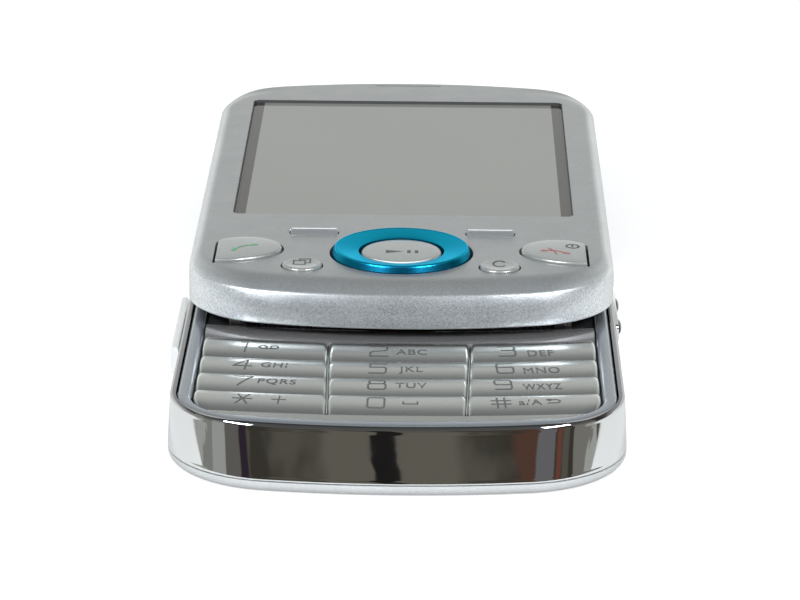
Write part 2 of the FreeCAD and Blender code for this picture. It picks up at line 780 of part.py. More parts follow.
def make_vibrator_weight():
    """A half disc on its shaft, heavy on one side of the motor's axis."""
    body = new_body("vibrator_weight")
    face = motor_x - motor_length / 2 - fit_gap * 2
    pad_circle(body, weight_radius, face - weight_length, face, motor_y, weight_level(), "YZ_Plane")
    lighter_half = rectangle(motor_y - motor_radius, motor_y + motor_radius, weight_level() - motor_radius,
                             weight_level())
    cut(body, [lighter_half], face - weight_length, face, "YZ_Plane")
    shaft_end = motor_x + motor_length / 2 - motor_end_wall - fit_gap * 2
    pad_circle(body, motor_shaft_radius, face - weight_length, shaft_end, motor_y, weight_level(), "YZ_Plane")


def weight_level():
    """The motor's axis: the motor lies just above the rear cover's top edge."""
    return bay_bottom + fit_gap + motor_radius


def make_headphone_jack():
    """A block with the jack's bore, whose mouth opens through the far end of the band."""
    body = new_body("headphone_jack")
    low, high = jack_level - jack_height / 2, jack_level + jack_height / 2
    mouth_y = jack_mouth()
    back_y = mouth_y - jack_length - jack_back
    pad(body, [rectangle(jack_x - jack_width / 2, jack_x + jack_width / 2, back_y, mouth_y)], low, high)
    cut_circles(body, jack_radius, [(jack_x, jack_level)], -mouth_y, -mouth_y + jack_length, "XZ_Plane")


def make_system_connector():
    body = new_body("system_connector")
    half_width, half_height = connector_width / 2, connector_height / 2
    frame = rectangle(connector_y - half_width, connector_y + half_width,
                      connector_level - half_height, connector_level + half_height - fit_gap * 2)
    mouth_x = -bezel_half_width
    pad(body, [frame], mouth_x, mouth_x + connector_depth, "YZ_Plane")
    mouth = rectangle(connector_y - half_width + connector_wall, connector_y + half_width - connector_wall,
                      connector_level - half_height + connector_wall,
                      connector_level + half_height - fit_gap * 2 - connector_wall)
    cut(body, [mouth], mouth_x, mouth_x + connector_depth - connector_wall * 2, "YZ_Plane")


def make_antenna():
    body = new_body("antenna")
    low_y = camera_y + camera_window_radius + antenna_gap
    pad(body, [rectangle(-antenna_width / 2, antenna_width / 2, low_y, low_y + antenna_length)],
        cover_skin, cover_skin + antenna_thickness)


def screws(label, places, level, length):
    """Screws put in from below: heads flush with a level, shanks pointing up."""
    solids = []
    for x, y in places:
        rods = []
        for radius, height in ((screw_head_radius, screw_head_height), (screw_radius, length)):
            rod = DOC.addObject("Part::Cylinder", f"{label}_rod")
            rod.setExpression("Radius", radius.text)
            rod.setExpression("Height", height.text)
            for axis, amount in zip("xyz", (x, y, level)):
                rod.setExpression(f"Placement.Base.{axis}", amount.text)
            rods.append(rod)
        screw = DOC.addObject("Part::MultiFuse", f"{label}_screw")
        screw.Shapes = rods
        solids.append(screw)
    group = DOC.addObject("Part::Compound", label)
    group.Links = solids
    group.Label = label


def make_base_screws():
    screws("base_screws", screw_places(), bay_bottom, screw_length)


# ---------------------------------------------------------------- keypad

KEY_ROWS = (("key_1", "key_2", "key_3"), ("key_4", "key_5", "key_6"), ("key_7", "key_8", "key_9"),
            ("key_star", "key_0", "key_hash"))
ROWS = len(KEY_ROWS)


def arc_segment(label, far_radius, near_radius, profile):
    """A body turned about the keypad's arc centre, trimmed to the width of the key well."""
    body = new_body(label, y=key_arc_y)
    revolve(body, profile(-near_radius, -far_radius), key_sweep, "YZ_Plane")
    return body


def keep_between(body, low_x, high_x, low, high):
    """Cut away what lies outside low_x to high_x on a body placed at the keypad's arc centre."""
    far_y = strip_length * 2 - key_arc_radius
    near_y = -key_arc_radius - key_pitch * (ROWS + 1)
    side = well_half_width * 2
    cut(body, [rectangle(-side, low_x, near_y, far_y), rectangle(high_x, side, near_y, far_y)], low, high)


def key_profile(near_y, far_y):
    """A key across its short way: highest near its far edge, falling away to the near one."""
    far_top = keypad_crest - key_far_drop
    near_top = keypad_crest - key_near_drop
    return [(near_y, key_bottom), (far_y, key_bottom), (far_y, far_top - key_bevel),
            (far_y - key_bevel, far_top, key_top_radius), (near_y + key_bevel, near_top),
            (near_y, near_top - key_bevel)]


def strip_profile(near_y, far_y):
    return [(near_y, frame_top), (far_y, frame_top), (far_y, rim_level, strip_top_radius),
            (near_y, rim_level - strip_near_drop)]


def make_key(label, row, column):
    """One key: column -1, 0 or 1, row 0 the farthest. The lowest outer keys follow the well's corners."""
    half_gap = key_row_gap / 2
    body = arc_segment(label, key_arc_radius + key_pitch * row + half_gap,
                       key_arc_radius + key_pitch * (row + 1) - half_gap, key_profile)
    inner_side = key_column_x + key_column_gap / 2
    outer_side = well_half_width - key_side_gap
    middle_side = key_column_x - key_column_gap / 2
    sides = {-1: (-outer_side, -inner_side), 0: (-middle_side, middle_side), 1: (inner_side, outer_side)}
    keep_between(body, *sides[column], key_bottom, keypad_crest + PAST)
    if row == ROWS - 1 and column != 0:
        inset = key_side_gap
        kept = phone_outline(well_half_width - inset, well_half_length - inset, well_corner - inset,
                             end_radius - inset, -key_arc_y)
        around = block(well_half_width * 4, well_half_length * 4, 0, -key_arc_y)
        cut(body, [around, kept], key_bottom, keypad_crest + PAST)
    if (row, column) == (1, 0):
        add_nub(body)


def add_nub(body):
    """The raised dot on the middle key, close to its far edge."""
    nub = body.newObject("PartDesign::AdditiveSphere", "nub")
    nub.setExpression("Radius", nub_radius.text)
    place_y = -(key_arc_radius + key_pitch + nub_radius * 2)
    nub.setExpression("Placement.Base.y", place_y.text)
    nub.setExpression("Placement.Base.z", (keypad_crest - nub_radius / 2).text)


def make_keypad():
    for row, labels in enumerate(KEY_ROWS):
        for column, label in zip((-1, 0, 1), labels):
            make_key(label, row, column)


def make_keypad_strip():
    body = arc_segment("keypad_strip", strip_far_radius, key_arc_radius - key_row_gap / 2, strip_profile)
    side = well_half_width - fit_gap
    keep_between(body, -side, side, frame_top, rim_level + PAST)


def make_lower_trim():
    """The flat crescent between the lowest keys and the bezel."""
    body = new_body("lower_trim")
    inset = fit_gap
    top = rim_level - trim_drop
    pad(body, [phone_outline(well_half_width - inset, well_half_length - inset, well_corner - inset,
                             end_radius - inset)], frame_top, top)
    cut_circles(body, key_arc_radius + key_pitch * ROWS + key_row_gap / 2, [(0, key_arc_y)], frame_top, top)


def make_keypad_deck():
    """The dark plate below the slider, hollowed at its near edge to follow the strip."""
    body = new_body("keypad_deck")
    half_width = well_half_width - fit_gap
    radius = strip_far_radius - fit_gap
    near_y = key_arc_y - root(radius * radius - half_width * half_width)
    corner = well_corner
    high_y = well_half_length - fit_gap - corner / 2
    outline = [(-half_width, near_y, radius), (half_width, near_y),
               (half_width, high_y - corner, corner), (half_width - corner, high_y),
               (corner - half_width, high_y, corner), (-half_width, high_y - corner)]
    pad(body, [outline], frame_top, deck_top)
    cut(body, [block(flex_width + flex_slot / 2, flex_slot, 0, flex_y)], frame_top, deck_top)


def make_key_mat():
    body = new_body("key_mat")
    pad(body, [mat_outline()], mat_level, mat_top)


def make_keypad_dome_sheet():
    body = new_body("keypad_dome_sheet")
    pad(body, [mat_outline()], board_top, mat_level)


def mat_outline():
    middle = key_pitch * ROWS / 2
    return soft_block(mat_half_width, middle - key_row_gap * 2, mat_corner, 0, keypad_far_edge - middle)


# ---------------------------------------------------------------- slide mechanism

def make_slide_rail_plate():
    """A flat plate with a channel along each side that holds one edge of the runner plate."""
    body = new_body("slide_rail_plate")
    outer = rail_plate_half_width
    wall = outer - rail_wall
    mouth = wall - rail_lip
    right = [(outer, deck_top), (outer, rail_top), (mouth, rail_top), (mouth, rail_lip_bottom),
             (wall, rail_lip_bottom), (wall, rail_flange_top),
             (mouth, rail_flange_top), (mouth, rail_plate_top)]
    left = [(-x, z) for x, z in reversed(right)]
    pad(body, [right + left], -rail_plate_high_y, -rail_plate_low_y, "XZ_Plane")
    cut(body, [block(flex_width + flex_slot / 2, flex_slot, 0, flex_y)], deck_top, rail_plate_top)


def make_slide_runner_plate():
    body = new_body("slide_runner_plate", y=slide_travel)
    half_width = rail_plate_half_width - rail_wall - run_gap
    pad(body, [block(half_width * 2, runner_half_length * 2)], runner_bottom, runner_top)
    cut(body, [block(flex_width + flex_slot / 2, flex_slot, 0, flex_slider_y)], runner_bottom, runner_top)
    cut_circles(body, screw_radius + fit_gap / 2, slider_screw_places(), runner_bottom, runner_top)
    cut_circles(body, screw_head_radius + fit_gap, slider_screw_places(),
                runner_bottom, runner_bottom + screw_head_height)


def slider_screw_places(y=0):
    return [(x, near_y + y) for x in (-slider_screw_x, slider_screw_x)
            for near_y in (-slider_screw_y, slider_screw_y)]


def make_slide_spring():
    """The wire spring that drives the slider to either end: a coil with one arm for each half."""
    level = (rail_plate_top + slider_bottom) / 2
    coil = DOC.addObject("Part::Torus", "spring_coil")
    coil.setExpression("Radius1", spring_coil_radius.text)
    coil.setExpression("Radius2", spring_wire_radius.text)
    for axis, amount in zip("xyz", (spring_x, spring_y, level)):
        coil.setExpression(f"Placement.Base.{axis}", amount.text)
    parts = [coil]
    for side, turn in ((1, 90), (-1, -90)):
        arm = DOC.addObject("Part::Cylinder", "spring_arm")
        arm.setExpression("Radius", spring_wire_radius.text)
        arm.setExpression("Height", spring_arm_length.text)
        arm.Placement.Rotation = FreeCAD.Rotation(FreeCAD.Vector(1, 0, 0), turn)
        for axis, amount in zip("xyz", (spring_x + spring_coil_radius * side, spring_y, level)):
            arm.setExpression(f"Placement.Base.{axis}", amount.text)
        parts.append(arm)
    spring = DOC.addObject("Part::MultiFuse", "slide_spring")
    spring.Shapes = parts
    spring.Label = "slide_spring"


def make_flex_cable():
    """A ribbon folded back on itself between the plates, from the main board to the slider's board."""
    body = new_body("flex_cable")
    half = flex_thickness / 2
    low_run = rail_plate_top + flex_plate_gap
    high_run = slider_bottom - flex_plate_gap
    slider_y = slide_travel + flex_slider_y
    path = [(flex_y, board_top, 0), (flex_y, low_run, 1), (flex_loop_y, low_run, 1),
            (flex_loop_y, high_run, -1), (slider_y, high_run, -1), (slider_y, frame_roof, 0)]
    upper = [(y - half, z + half * side) for y, z, side in path]
    lower = [(y + half, z - half * side) for y, z, side in path]
    pad(body, [upper + lower[::-1]], -flex_width / 2, flex_width / 2, "YZ_Plane")


# ---------------------------------------------------------------- slider

# the ways in which the leaf keys' inner corners move when the outline grows
SHOULDER_WAY = (0.74, 0.67)
TIP_WAY = (0.83, 0.56)


def slider_outline(inset):
    inset = as_size(inset)
    return phone_outline(slider_half_width - inset, slider_half_length - inset, slider_corner - inset,
                         slider_end_radius - inset)


def make_front_cover():
    """The slider's shell, open below, with a hole for the window and for each key."""
    body = new_body("front_cover", y=slide_travel)
    low = slider_bottom + fit_gap
    pad(body, [slider_outline(0)], low, face_level)
    round_edges(body, face_round, at_level(face_level))
    round_edges(body, lower_round, at_level(low))
    cut(body, [slider_outline(shell_wall)], low, face_underside)
    holes = [
        soft_block(window_half_width, window_half_length, window_corner, 0, window_y),
        end_key_outline(key_gap),
        mirrored(end_key_outline(key_gap)),
        block(soft_key_width + key_gap * 2, soft_key_depth + key_gap * 2, soft_key_x, soft_key_y),
        block(soft_key_width + key_gap * 2, soft_key_depth + key_gap * 2, -soft_key_x, soft_key_y),
        block(earpiece_slot_width, earpiece_slot_height, 0, earpiece_y + earpiece_slot_shift),
    ]
    cut(body, holes, face_underside, face_level)
    cut_circles(body, ring_radius + ring_gap, [(0, ring_y)], face_underside, face_level)
    cut_circles(body, round_key_radius + key_gap, [(-round_key_x, round_key_y), (round_key_x, round_key_y)],
                face_underside, face_level)


def make_slider_frame():
    """The slider's inner frame: a thick floor, recessed below for the runner and the rails."""
    body = new_body("slider_frame", y=slide_travel)
    pad(body, [slider_outline(shell_wall + fit_gap)], slider_bottom, frame_roof)
    cut(body, [block((rail_plate_half_width - rail_wall) * 2, (runner_half_length + fit_gap) * 2)],
        slider_bottom, runner_top)
    groove = rectangle(rail_plate_half_width - rail_wall - rail_lip - rail_groove_gap,
                       rail_plate_half_width + rail_groove_gap,
                       rail_plate_low_y - slide_travel - rail_groove_gap,
                       rail_plate_high_y + rail_groove_gap)
    cut(body, [groove, mirrored(groove)], slider_bottom, groove_top)
    cut(body, [block(flex_width + flex_slot / 2, flex_slot, 0, flex_slider_y)], slider_bottom, frame_roof)
    cut_circles(body, screw_radius + fit_gap / 2, slider_screw_places(), slider_bottom, frame_roof)


def make_display_window():
    body = new_body("display_window", y=slide_travel)
    high = face_level - window_recess
    inset = fit_gap / 2
    outline = soft_block(window_half_width - inset, window_half_length - inset, window_corner, 0, window_y)
    pad(body, [outline], high - window_thickness, high)


def make_display_panel():
    body = new_body("display_panel", y=slide_travel)
    pad(body, [block(panel_half_width * 2, panel_half_length * 2, 0, window_y)], frame_roof,
        face_level - window_recess - window_thickness - panel_gap)


def make_slider_board():
    body = new_body("slider_board", y=slide_travel)
    pad(body, [soft_block(key_board_half_width, key_board_half_length, key_board_corner, 0, key_board_y)],
        frame_roof, frame_roof + key_board_thickness)


def make_slider_dome_sheet():
    body = new_body("slider_dome_sheet", y=slide_travel)
    low = frame_roof + key_board_thickness
    inset = nav_sheet_inset
    outline = soft_block(key_board_half_width - inset, key_board_half_length - inset,
                         key_board_corner - inset, 0, key_board_y)
    pad(body, [outline], low, low + nav_sheet_thickness)


def make_earpiece():
    body = new_body("earpiece", y=slide_travel)
    pad(body, [block(earpiece_width, earpiece_length, 0, earpiece_y)],
        frame_roof, frame_roof + earpiece_height)
    round_edges(body, earpiece_round, is_upright)


def make_slider_screws():
    screws("slider_screws", slider_screw_places(slide_travel), slider_bottom, slider_screw_length)


def end_key_outline(margin):
    """The end key's leaf shape, grown by a margin: a straight outer side and a rounded tip.

    Each corner moves out by the margin along the way that bisects the two edges that meet there."""
    margin = as_size(margin)
    outer_x = call_outer_x + margin
    return [(outer_x, call_low_y - margin), (outer_x, call_high_y + margin / 2, call_top_radius + margin),
            (call_shoulder_x - margin * SHOULDER_WAY[0], call_high_y + margin * SHOULDER_WAY[1],
             call_tip_radius + margin),
            (call_tip_x - margin * TIP_WAY[0], call_tip_y - margin * TIP_WAY[1], call_bottom_radius + margin)]


def make_leaf_key(label, mirror):
    body = new_body(label, y=slide_travel)
    flange, cap = end_key_outline(flange_lap), end_key_outline(0)
    if mirror:
        flange, cap = mirrored(flange), mirrored(cap)
    pad(body, [flange], flange_bottom, flange_top)
    pad(body, [cap], flange_bottom, side_key_level)
    round_edges(body, side_key_round, at_level(side_key_level))


def make_soft_key(label, side):
    """A bar with a flat crest along its far side and a slope towards the near side."""
    body = new_body(label, x=soft_key_x * side, y=slide_travel + soft_key_y)
    pad(body, [block(soft_key_width + flange_lap, soft_key_depth + flange_lap)], flange_bottom, flange_top)
    half = soft_key_depth / 2
    profile = [(-half, flange_bottom), (half, flange_bottom), (half, soft_key_level),
               (half - soft_key_crest, soft_key_level), (-half, soft_key_toe)]
    pad(body, [profile], -soft_key_width / 2, soft_key_width / 2, "YZ_Plane")
    slope_top = (soft_key_toe + soft_key_round).value
    round_edges(body, soft_key_round, lambda edge: edge.BoundBox.ZMax > slope_top)


def make_round_key(label, side):
    body = new_body(label, x=round_key_x * side, y=slide_travel + round_key_y)
    pad_circle(body, round_key_radius + flange_lap, flange_bottom, flange_top)
    pad_circle(body, round_key_radius, flange_bottom, side_key_level)
    round_edges(body, side_key_round, at_level(side_key_level))


def make_nav_ring():
    """The ring, highest near its outer side and dished towards the centre key."""
    body = new_body("nav_ring", y=slide_travel + ring_y)
    low = face_underside - ring_tilt_gap
    profile = [(ring_hole_radius, low), (ring_radius, low), (ring_radius, face_level, ring_flank_radius),
               (ring_crest_radius, ring_crest_level, -ring_dish_radius), (ring_hole_radius, ring_inner_level)]
    revolve(body, profile)
    round_edges(body, ring_crest_round, at_level(ring_crest_level))


def make_nav_ring_flange():
    body = new_body("nav_ring_flange", y=slide_travel + ring_y)
    high = face_underside - ring_tilt_gap * 2
    low = high - ring_flange_thickness
    revolve(body, [(ring_hole_radius, low), (ring_radius + flange_lap, low), (ring_radius + flange_lap, high),
                   (ring_hole_radius, high)])


def make_centre_key():
    """A round key with a gently domed top."""
    body = new_body("centre_key", y=slide_travel + ring_y)
    low = frame_roof + key_board_thickness + nav_sheet_thickness + ring_tilt_gap
    rim = centre_key_level - centre_key_dome
    dome_radius = centre_key_radius * centre_key_radius / (centre_key_dome * 2) + centre_key_dome / 2
    revolve(body, [(0, low), (centre_key_radius, low), (centre_key_radius, rim, dome_radius),
                   (0, centre_key_level)])
    round_edges(body, side_key_round, at_level(rim))


# ---------------------------------------------------------------- keys and cover on the lower half's sides

def make_volume_rocker():
    body = new_body("volume_rocker")
    low, high = side_key_z - side_key_height / 2, side_key_z + side_key_height / 2
    pad(body, [rectangle(rocker_low_y, rocker_high_y, low, high)], side_key_back, side_key_reach, "YZ_Plane")
    bump_low, bump_high = low + side_key_bump_inset, high - side_key_bump_inset
    near, far = rocker_low_y + side_key_bump_inset, rocker_high_y - side_key_bump_inset
    bumps = [rectangle(near, near + side_key_bump_length, bump_low, bump_high),
             rectangle(far - side_key_bump_length, far, bump_low, bump_high)]
    tip = side_key_reach + side_key_bump
    pad(body, bumps, side_key_reach, tip, "YZ_Plane")
    round_edges(body, side_key_tip_round, lambda edge: edge.BoundBox.XMin > tip.value - NEAR)


def make_camera_key():
    body = new_body("camera_key")
    low, high = side_key_z - side_key_height / 2, side_key_z + side_key_height / 2
    tip = side_key_reach + side_key_bump / 2
    pad(body, [rectangle(shutter_low_y, shutter_high_y, low, high)], side_key_back, tip, "YZ_Plane")
    round_edges(body, side_key_tip_round, lambda edge: edge.BoundBox.XMin > tip.value - NEAR)


def make_port_cover():
    """A strip on the left side, turned outwards about its rounded far end."""
    body = new_body("port_cover")
    inner = -(belly_half_width + fit_gap)
    outer = inner - port_cover_thickness
    half = port_cover_thickness / 2
    end_y = port_cover_high_y - half
    outline = [(inner, port_cover_low_y), (inner, end_y, half), (inner - half, port_cover_high_y, half),
               (outer, end_y), (outer, port_cover_low_y + half * 2)]
    low, high = connector_level - port_cover_height / 2, connector_level + port_cover_height / 2
    pad(body, [outline], low, high)
    round_edges(body, port_cover_round, lambda edge: edge.BoundBox.XMax < outer.value + NEAR)


# ---------------------------------------------------------------- build, check, write

SUB_PARTS = """
rear_cover rear_top_panel main_frame chrome_band keypad_bezel keypad_strip lower_trim keypad_deck
slide_rail_plate key_mat keypad_dome_sheet main_board shield_can battery card_holder loudspeaker
vibrator_motor vibrator_weight camera_module camera_window antenna system_connector port_cover
headphone_jack volume_rocker camera_key base_screws slide_spring flex_cable key_1 key_2 key_3 key_4
key_5 key_6 key_7 key_8 key_9 key_star key_0 key_hash front_cover slider_frame slide_runner_plate
display_window display_panel slider_board slider_dome_sheet earpiece call_key end_key soft_key_left
soft_key_right switch_key clear_key nav_ring nav_ring_flange centre_key slider_screws
""".split()


def build():
    for make in (make_rear_cover, make_rear_top_panel, make_main_frame, make_chrome_band,
                 make_keypad_bezel, make_keypad_strip, make_lower_trim, make_keypad_deck,
                 make_slide_rail_plate, make_key_mat, make_keypad_dome_sheet, make_main_board,
                 make_shield_can, make_battery, make_card_holder, make_loudspeaker, make_vibrator_motor,
                 make_vibrator_weight, make_camera_module, make_camera_window, make_antenna,
                 make_system_connector, make_port_cover, make_headphone_jack, make_volume_rocker,
                 make_camera_key, make_base_screws, make_slide_spring, make_flex_cable, make_keypad,
                 make_front_cover, make_slider_frame, make_slide_runner_plate, make_display_window,
                 make_display_panel, make_slider_board, make_slider_dome_sheet, make_earpiece,
                 make_nav_ring, make_nav_ring_flange, make_centre_key, make_slider_screws):
        make()
    make_leaf_key("end_key", False)
    make_leaf_key("call_key", True)
    for side, soft, other in ((-1, "soft_key_left", "switch_key"), (1, "soft_key_right", "clear_key")):
        make_soft_key(soft, side)
        make_round_key(other, side)
    DOC.recompute()


def check():
    """Stop before anything is written if a feature failed, cut nothing or left a broken shape."""
    for item in DOC.Objects:
        if {"Invalid", "Error"} & set(item.State):
            raise RuntimeError(f"{item.Name} failed: {item.State}")
        if item.TypeId == "PartDesign::Pocket" and item.BaseFeature.Shape.Volume - item.Shape.Volume < NEAR:
            raise RuntimeError(f"{item.Name} cuts nothing")
    for label in SUB_PARTS:
        shape = DOC.getObjectsByLabel(label)[0].Shape
        if shape.isNull() or not shape.isValid() or not shape.Solids:
            raise RuntimeError(f"{label} has no sound shape")


def write():
    os.makedirs("parts", exist_ok=True)
    for label in SUB_PARTS:
        DOC.getObjectsByLabel(label)[0].Shape.exportStep(f"parts/{label}.step")


build()
check()
write()
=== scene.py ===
import json
from collections import namedtuple
from math import asin, atan, ceil, cos, hypot, pi, radians, sin, sqrt

import bmesh
import bpy
from mathutils import Matrix, Vector
from mathutils.bvhtree import BVHTree


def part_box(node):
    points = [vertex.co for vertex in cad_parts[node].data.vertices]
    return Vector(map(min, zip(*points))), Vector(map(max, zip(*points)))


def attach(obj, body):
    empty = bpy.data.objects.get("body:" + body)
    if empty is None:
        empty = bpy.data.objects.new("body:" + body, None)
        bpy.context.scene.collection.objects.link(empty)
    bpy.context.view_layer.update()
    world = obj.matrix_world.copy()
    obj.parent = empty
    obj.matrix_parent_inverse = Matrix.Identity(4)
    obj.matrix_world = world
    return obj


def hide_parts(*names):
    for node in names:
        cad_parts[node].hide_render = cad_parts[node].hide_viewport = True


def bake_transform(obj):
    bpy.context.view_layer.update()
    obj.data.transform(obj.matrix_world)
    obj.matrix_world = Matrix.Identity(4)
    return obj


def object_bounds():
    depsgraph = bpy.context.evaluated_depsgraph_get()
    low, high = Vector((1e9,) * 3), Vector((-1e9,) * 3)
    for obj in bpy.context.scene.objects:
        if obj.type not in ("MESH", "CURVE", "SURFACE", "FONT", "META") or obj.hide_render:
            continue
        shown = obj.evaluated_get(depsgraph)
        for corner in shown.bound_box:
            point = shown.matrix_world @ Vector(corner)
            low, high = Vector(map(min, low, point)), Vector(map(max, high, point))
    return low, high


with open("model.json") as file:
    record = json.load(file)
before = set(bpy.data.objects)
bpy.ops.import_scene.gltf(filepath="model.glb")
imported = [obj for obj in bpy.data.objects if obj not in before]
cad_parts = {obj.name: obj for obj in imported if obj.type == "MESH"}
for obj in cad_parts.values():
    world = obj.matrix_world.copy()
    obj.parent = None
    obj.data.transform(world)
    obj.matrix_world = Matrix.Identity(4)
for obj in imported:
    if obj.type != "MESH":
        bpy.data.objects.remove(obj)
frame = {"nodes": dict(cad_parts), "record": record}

# Metres in the frame of the CAD part: +Z out of the display, +Y the way the slider opens.
# The forms are worked in millimetres, and scaled by MM when their mesh is made.
CAD_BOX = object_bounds()
MM = 0.001
NODES = frame["nodes"]

Outline = namedtuple("Outline", "half_width half_length corner bow")
BASE = Outline(26.0, 47.75, 13.0, 100.0)
BEZEL_OUTER = Outline(24.85, 46.1, 9.9, 100.0)
WELL = Outline(23.1, 43.9, 6.2, 100.0)
SLIDER = Outline(25.5, 47.65, 11.5, 75.0)
SLIDER_Y = 31.9
SLIDER_TOP = 14.2
COVER_CUT = (12.0, 16.0)        # levels between which the front cover's openings are cut
RING_Y = -2.0
DISPLAY_HALF_WIDTH = 19.6

# The key rows are arcs about one far-off point, counted from the far row to the near one.
KEY_ROWS = (("1", "2", "3"), ("4", "5", "6"), ("7", "8", "9"), ("star", "0", "hash"))
KEY_CENTRE_Y = 132.1
KEY_RADIUS = 150.0
KEY_PITCH = 5.95
KEY_LEVEL = 7.9


def highest(node):
    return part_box(node)[1]


def middle(node):
    low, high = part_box(node)
    return (low + high) / 2


# ---- shader nodes

class Wiring:
    """Adds nodes to one tree; each value is a number, a tuple or another node's socket."""

    def __init__(self, tree):
        self.tree = tree

    def put(self, value, socket):
        if isinstance(value, bpy.types.NodeSocket):
            self.tree.links.new(value, socket)
        elif isinstance(value, tuple) and len(value) < len(socket.default_value):
            socket.default_value = (*value, 1.0)
        else:
            socket.default_value = value

    def node(self, kind, inputs=None, **settings):
        made = self.tree.nodes.new("ShaderNode" + kind)
        for key, value in settings.items():
            setattr(made, key, value)
        for key, value in (inputs or {}).items():
            self.put(value, made.inputs[key])
        return made

    def maths(self, operation, *values):
        return self.node("Math", dict(enumerate(values)), operation=operation).outputs[0]

    def times(self, *values):
        return self.maths("MULTIPLY", *values)

    def vector(self, operation, *values):
        return self.node("VectorMath", dict(enumerate(values)), operation=operation).outputs[0]

    def split(self, vector):
        return self.node("SeparateXYZ", {0: vector}).outputs

    def scaled(self, source, low, high, from_low=0.0, from_high=1.0, curve="LINEAR"):
        """Carry a value from one span to another, held at both ends."""
        return self.node("MapRange", {
            "Value": source, "From Min": from_low, "From Max": from_high, "To Min": low, "To Max": high,
        }, interpolation_type=curve).outputs["Result"]

    def mixed(self, factor, first, second):
        """Two colours mixed by a factor."""
        return self.node("Mix", {0: factor, 6: first, 7: second}, data_type="RGBA").outputs[2]

    def noise_on(self, place, scale, detail, dimensions="3D"):
        return self.node("TexNoise", {"Vector": place, "Scale": scale, "Detail": detail},
                         noise_dimensions=dimensions).outputs["Fac"]


# ---- materials

NOISE_SPAN = (0.3, 0.7)         # where most values of a noise lie
LYING_FLAT = (0.3, 0.9)         # a normal's Z from a steep face to a flat one
STEEP_EDGE = (0.40, 0.64)       # its Z from a steep edge to a gentle one
TO_THE_HAND = (-0.9, -0.3)      # its Y from the near face to all others
SIDEWAYS = (0.15, 0.85)         # its X from the top face to the flanks


class Paint(Wiring):
    """A material with one Principled shader, and helpers for its colour, gloss and bump."""

    def __init__(self, name, colour, roughness, metallic=0.0):
        self.material = bpy.data.materials.new(name)
        self.material.use_nodes = True
        super().__init__(self.material.node_tree)
        self.shader = self.tree.nodes["Principled BSDF"]
        self.feed("Base Color", colour)
        self.feed("Roughness", roughness)
        self.feed("Metallic", metallic)
        self.colour = colour
        self.place = self.node("TexCoord").outputs["Object"]

    def feed(self, socket, value):
        self.put(value, self.shader.inputs[socket])

    def noise(self, scale, detail=3.0, stretch=None):
        """Grey noise from 0 to 1; scale counts features to a metre."""
        place = self.vector("MULTIPLY", self.place, stretch) if stretch else self.place
        return self.noise_on(place, scale, detail)

    def tint(self, source, spread):
        """Vary the base colour by a share of itself, darker and lighter, with a grey source."""
        dark, light = (tuple(min(1.0, c * share) for c in self.colour) for share in (1 - spread, 1 + spread))
        colour = self.mixed(self.scaled(source, 0.0, 1.0, *NOISE_SPAN), dark, light)
        self.feed("Base Color", colour)
        return colour

    def gloss(self, source, low, high):
        self.feed("Roughness", self.scaled(source, low, high, *NOISE_SPAN))

    def bump(self, height, depth):
        """A bump whose height runs over depth metres."""
        made = self.node("Bump", {"Strength": 1.0, "Distance": depth, "Height": height})
        self.feed("Normal", made.outputs["Normal"])
        return made.outputs["Normal"]

    def coat(self, weight, roughness):
        self.feed("Coat Weight", weight)
        self.feed("Coat Roughness", roughness)


def flake_paint(name, colour, roughness, metallic, sparkle, tilt, flake=9000.0, coat=0.3, flank=1.0,
                front=None, steep=1.0, level=1.0, gleam=None):
    """Metal flake paint: small cells that differ in brightness and lean, under a satin clear coat.

    flank is a painted brightening of the faces that turn sideways, standing for the white surroundings
    they reflect; front is a colour painted on the faces turned to the hand, painted light and shade for
    what they reflect; steep is what steep faces keep of their brightness, a painted shade; level is what
    flat faces keep of its sparkle; and gleam is the colour of its glancing reflections."""
    paint = Paint(name, colour, roughness, metallic)
    flakes = paint.node("TexVoronoi", {"Vector": paint.place, "Scale": flake}).outputs["Color"]
    normal = paint.node("NewGeometry").outputs["Normal"]
    facing = paint.split(normal)
    limits = [paint.scaled(facing["Z"], 1 + spread, 1 + spread * level, *LYING_FLAT)
              for spread in (-sparkle, sparkle)]
    shade = paint.times(paint.scaled(paint.split(flakes)["X"], *limits),
                        paint.scaled(paint.noise(60.0), 0.97, 1.03, *NOISE_SPAN))
    # Painted shade: steep faces are darkened by the share that steep gives.
    shade = paint.times(shade, paint.scaled(facing["Z"], steep, 1.0, *STEEP_EDGE))
    # Painted light: faces turned sideways are brightened up to flank times, standing for the white
    # surroundings they reflect.
    sideways = paint.maths("ABSOLUTE", facing["X"])
    shade = paint.times(shade, paint.scaled(sideways, 1.0, flank, *SIDEWAYS))
    # Painted light and shade: faces turned to the hand take the front colour, standing for what they
    # reflect.
    base = paint.mixed(paint.scaled(facing["Y"], 1.0, 0.0, *TO_THE_HAND), colour, front or colour)
    paint.feed("Base Color", paint.vector("MULTIPLY", base, shade))
    lean = paint.vector("SUBTRACT", flakes, (0.5, 0.5, 0.5))
    leaning = paint.vector("MULTIPLY_ADD", lean, (tilt, tilt, tilt), normal)
    paint.feed("Normal", paint.vector("NORMALIZE", leaning))
    paint.gloss(paint.noise(300.0), roughness * 0.9, roughness * 1.1)
    paint.coat(coat, 0.12)
    if gleam:
        paint.feed("Specular Tint", gleam)
    return paint.material


def moulded(name, colour, roughness):
    """Moulded plastic with a fine even grain."""
    paint = Paint(name, colour, roughness)
    paint.tint(paint.noise(90.0), 0.08)
    paint.gloss(paint.noise(500.0), roughness * 0.85, min(1.0, roughness * 1.15))
    paint.bump(paint.noise(2500.0, 2.0), 0.000004)
    return paint.material


def glossy_plastic(name, colour, roughness):
    """Polished plastic with faint handling marks in its gloss."""
    paint = Paint(name, colour, roughness)
    paint.tint(paint.noise(60.0), 0.06)
    paint.gloss(paint.noise(250.0, 4.0), roughness * 0.8, roughness * 1.3)
    paint.coat(1.0, 0.03)
    return paint.material


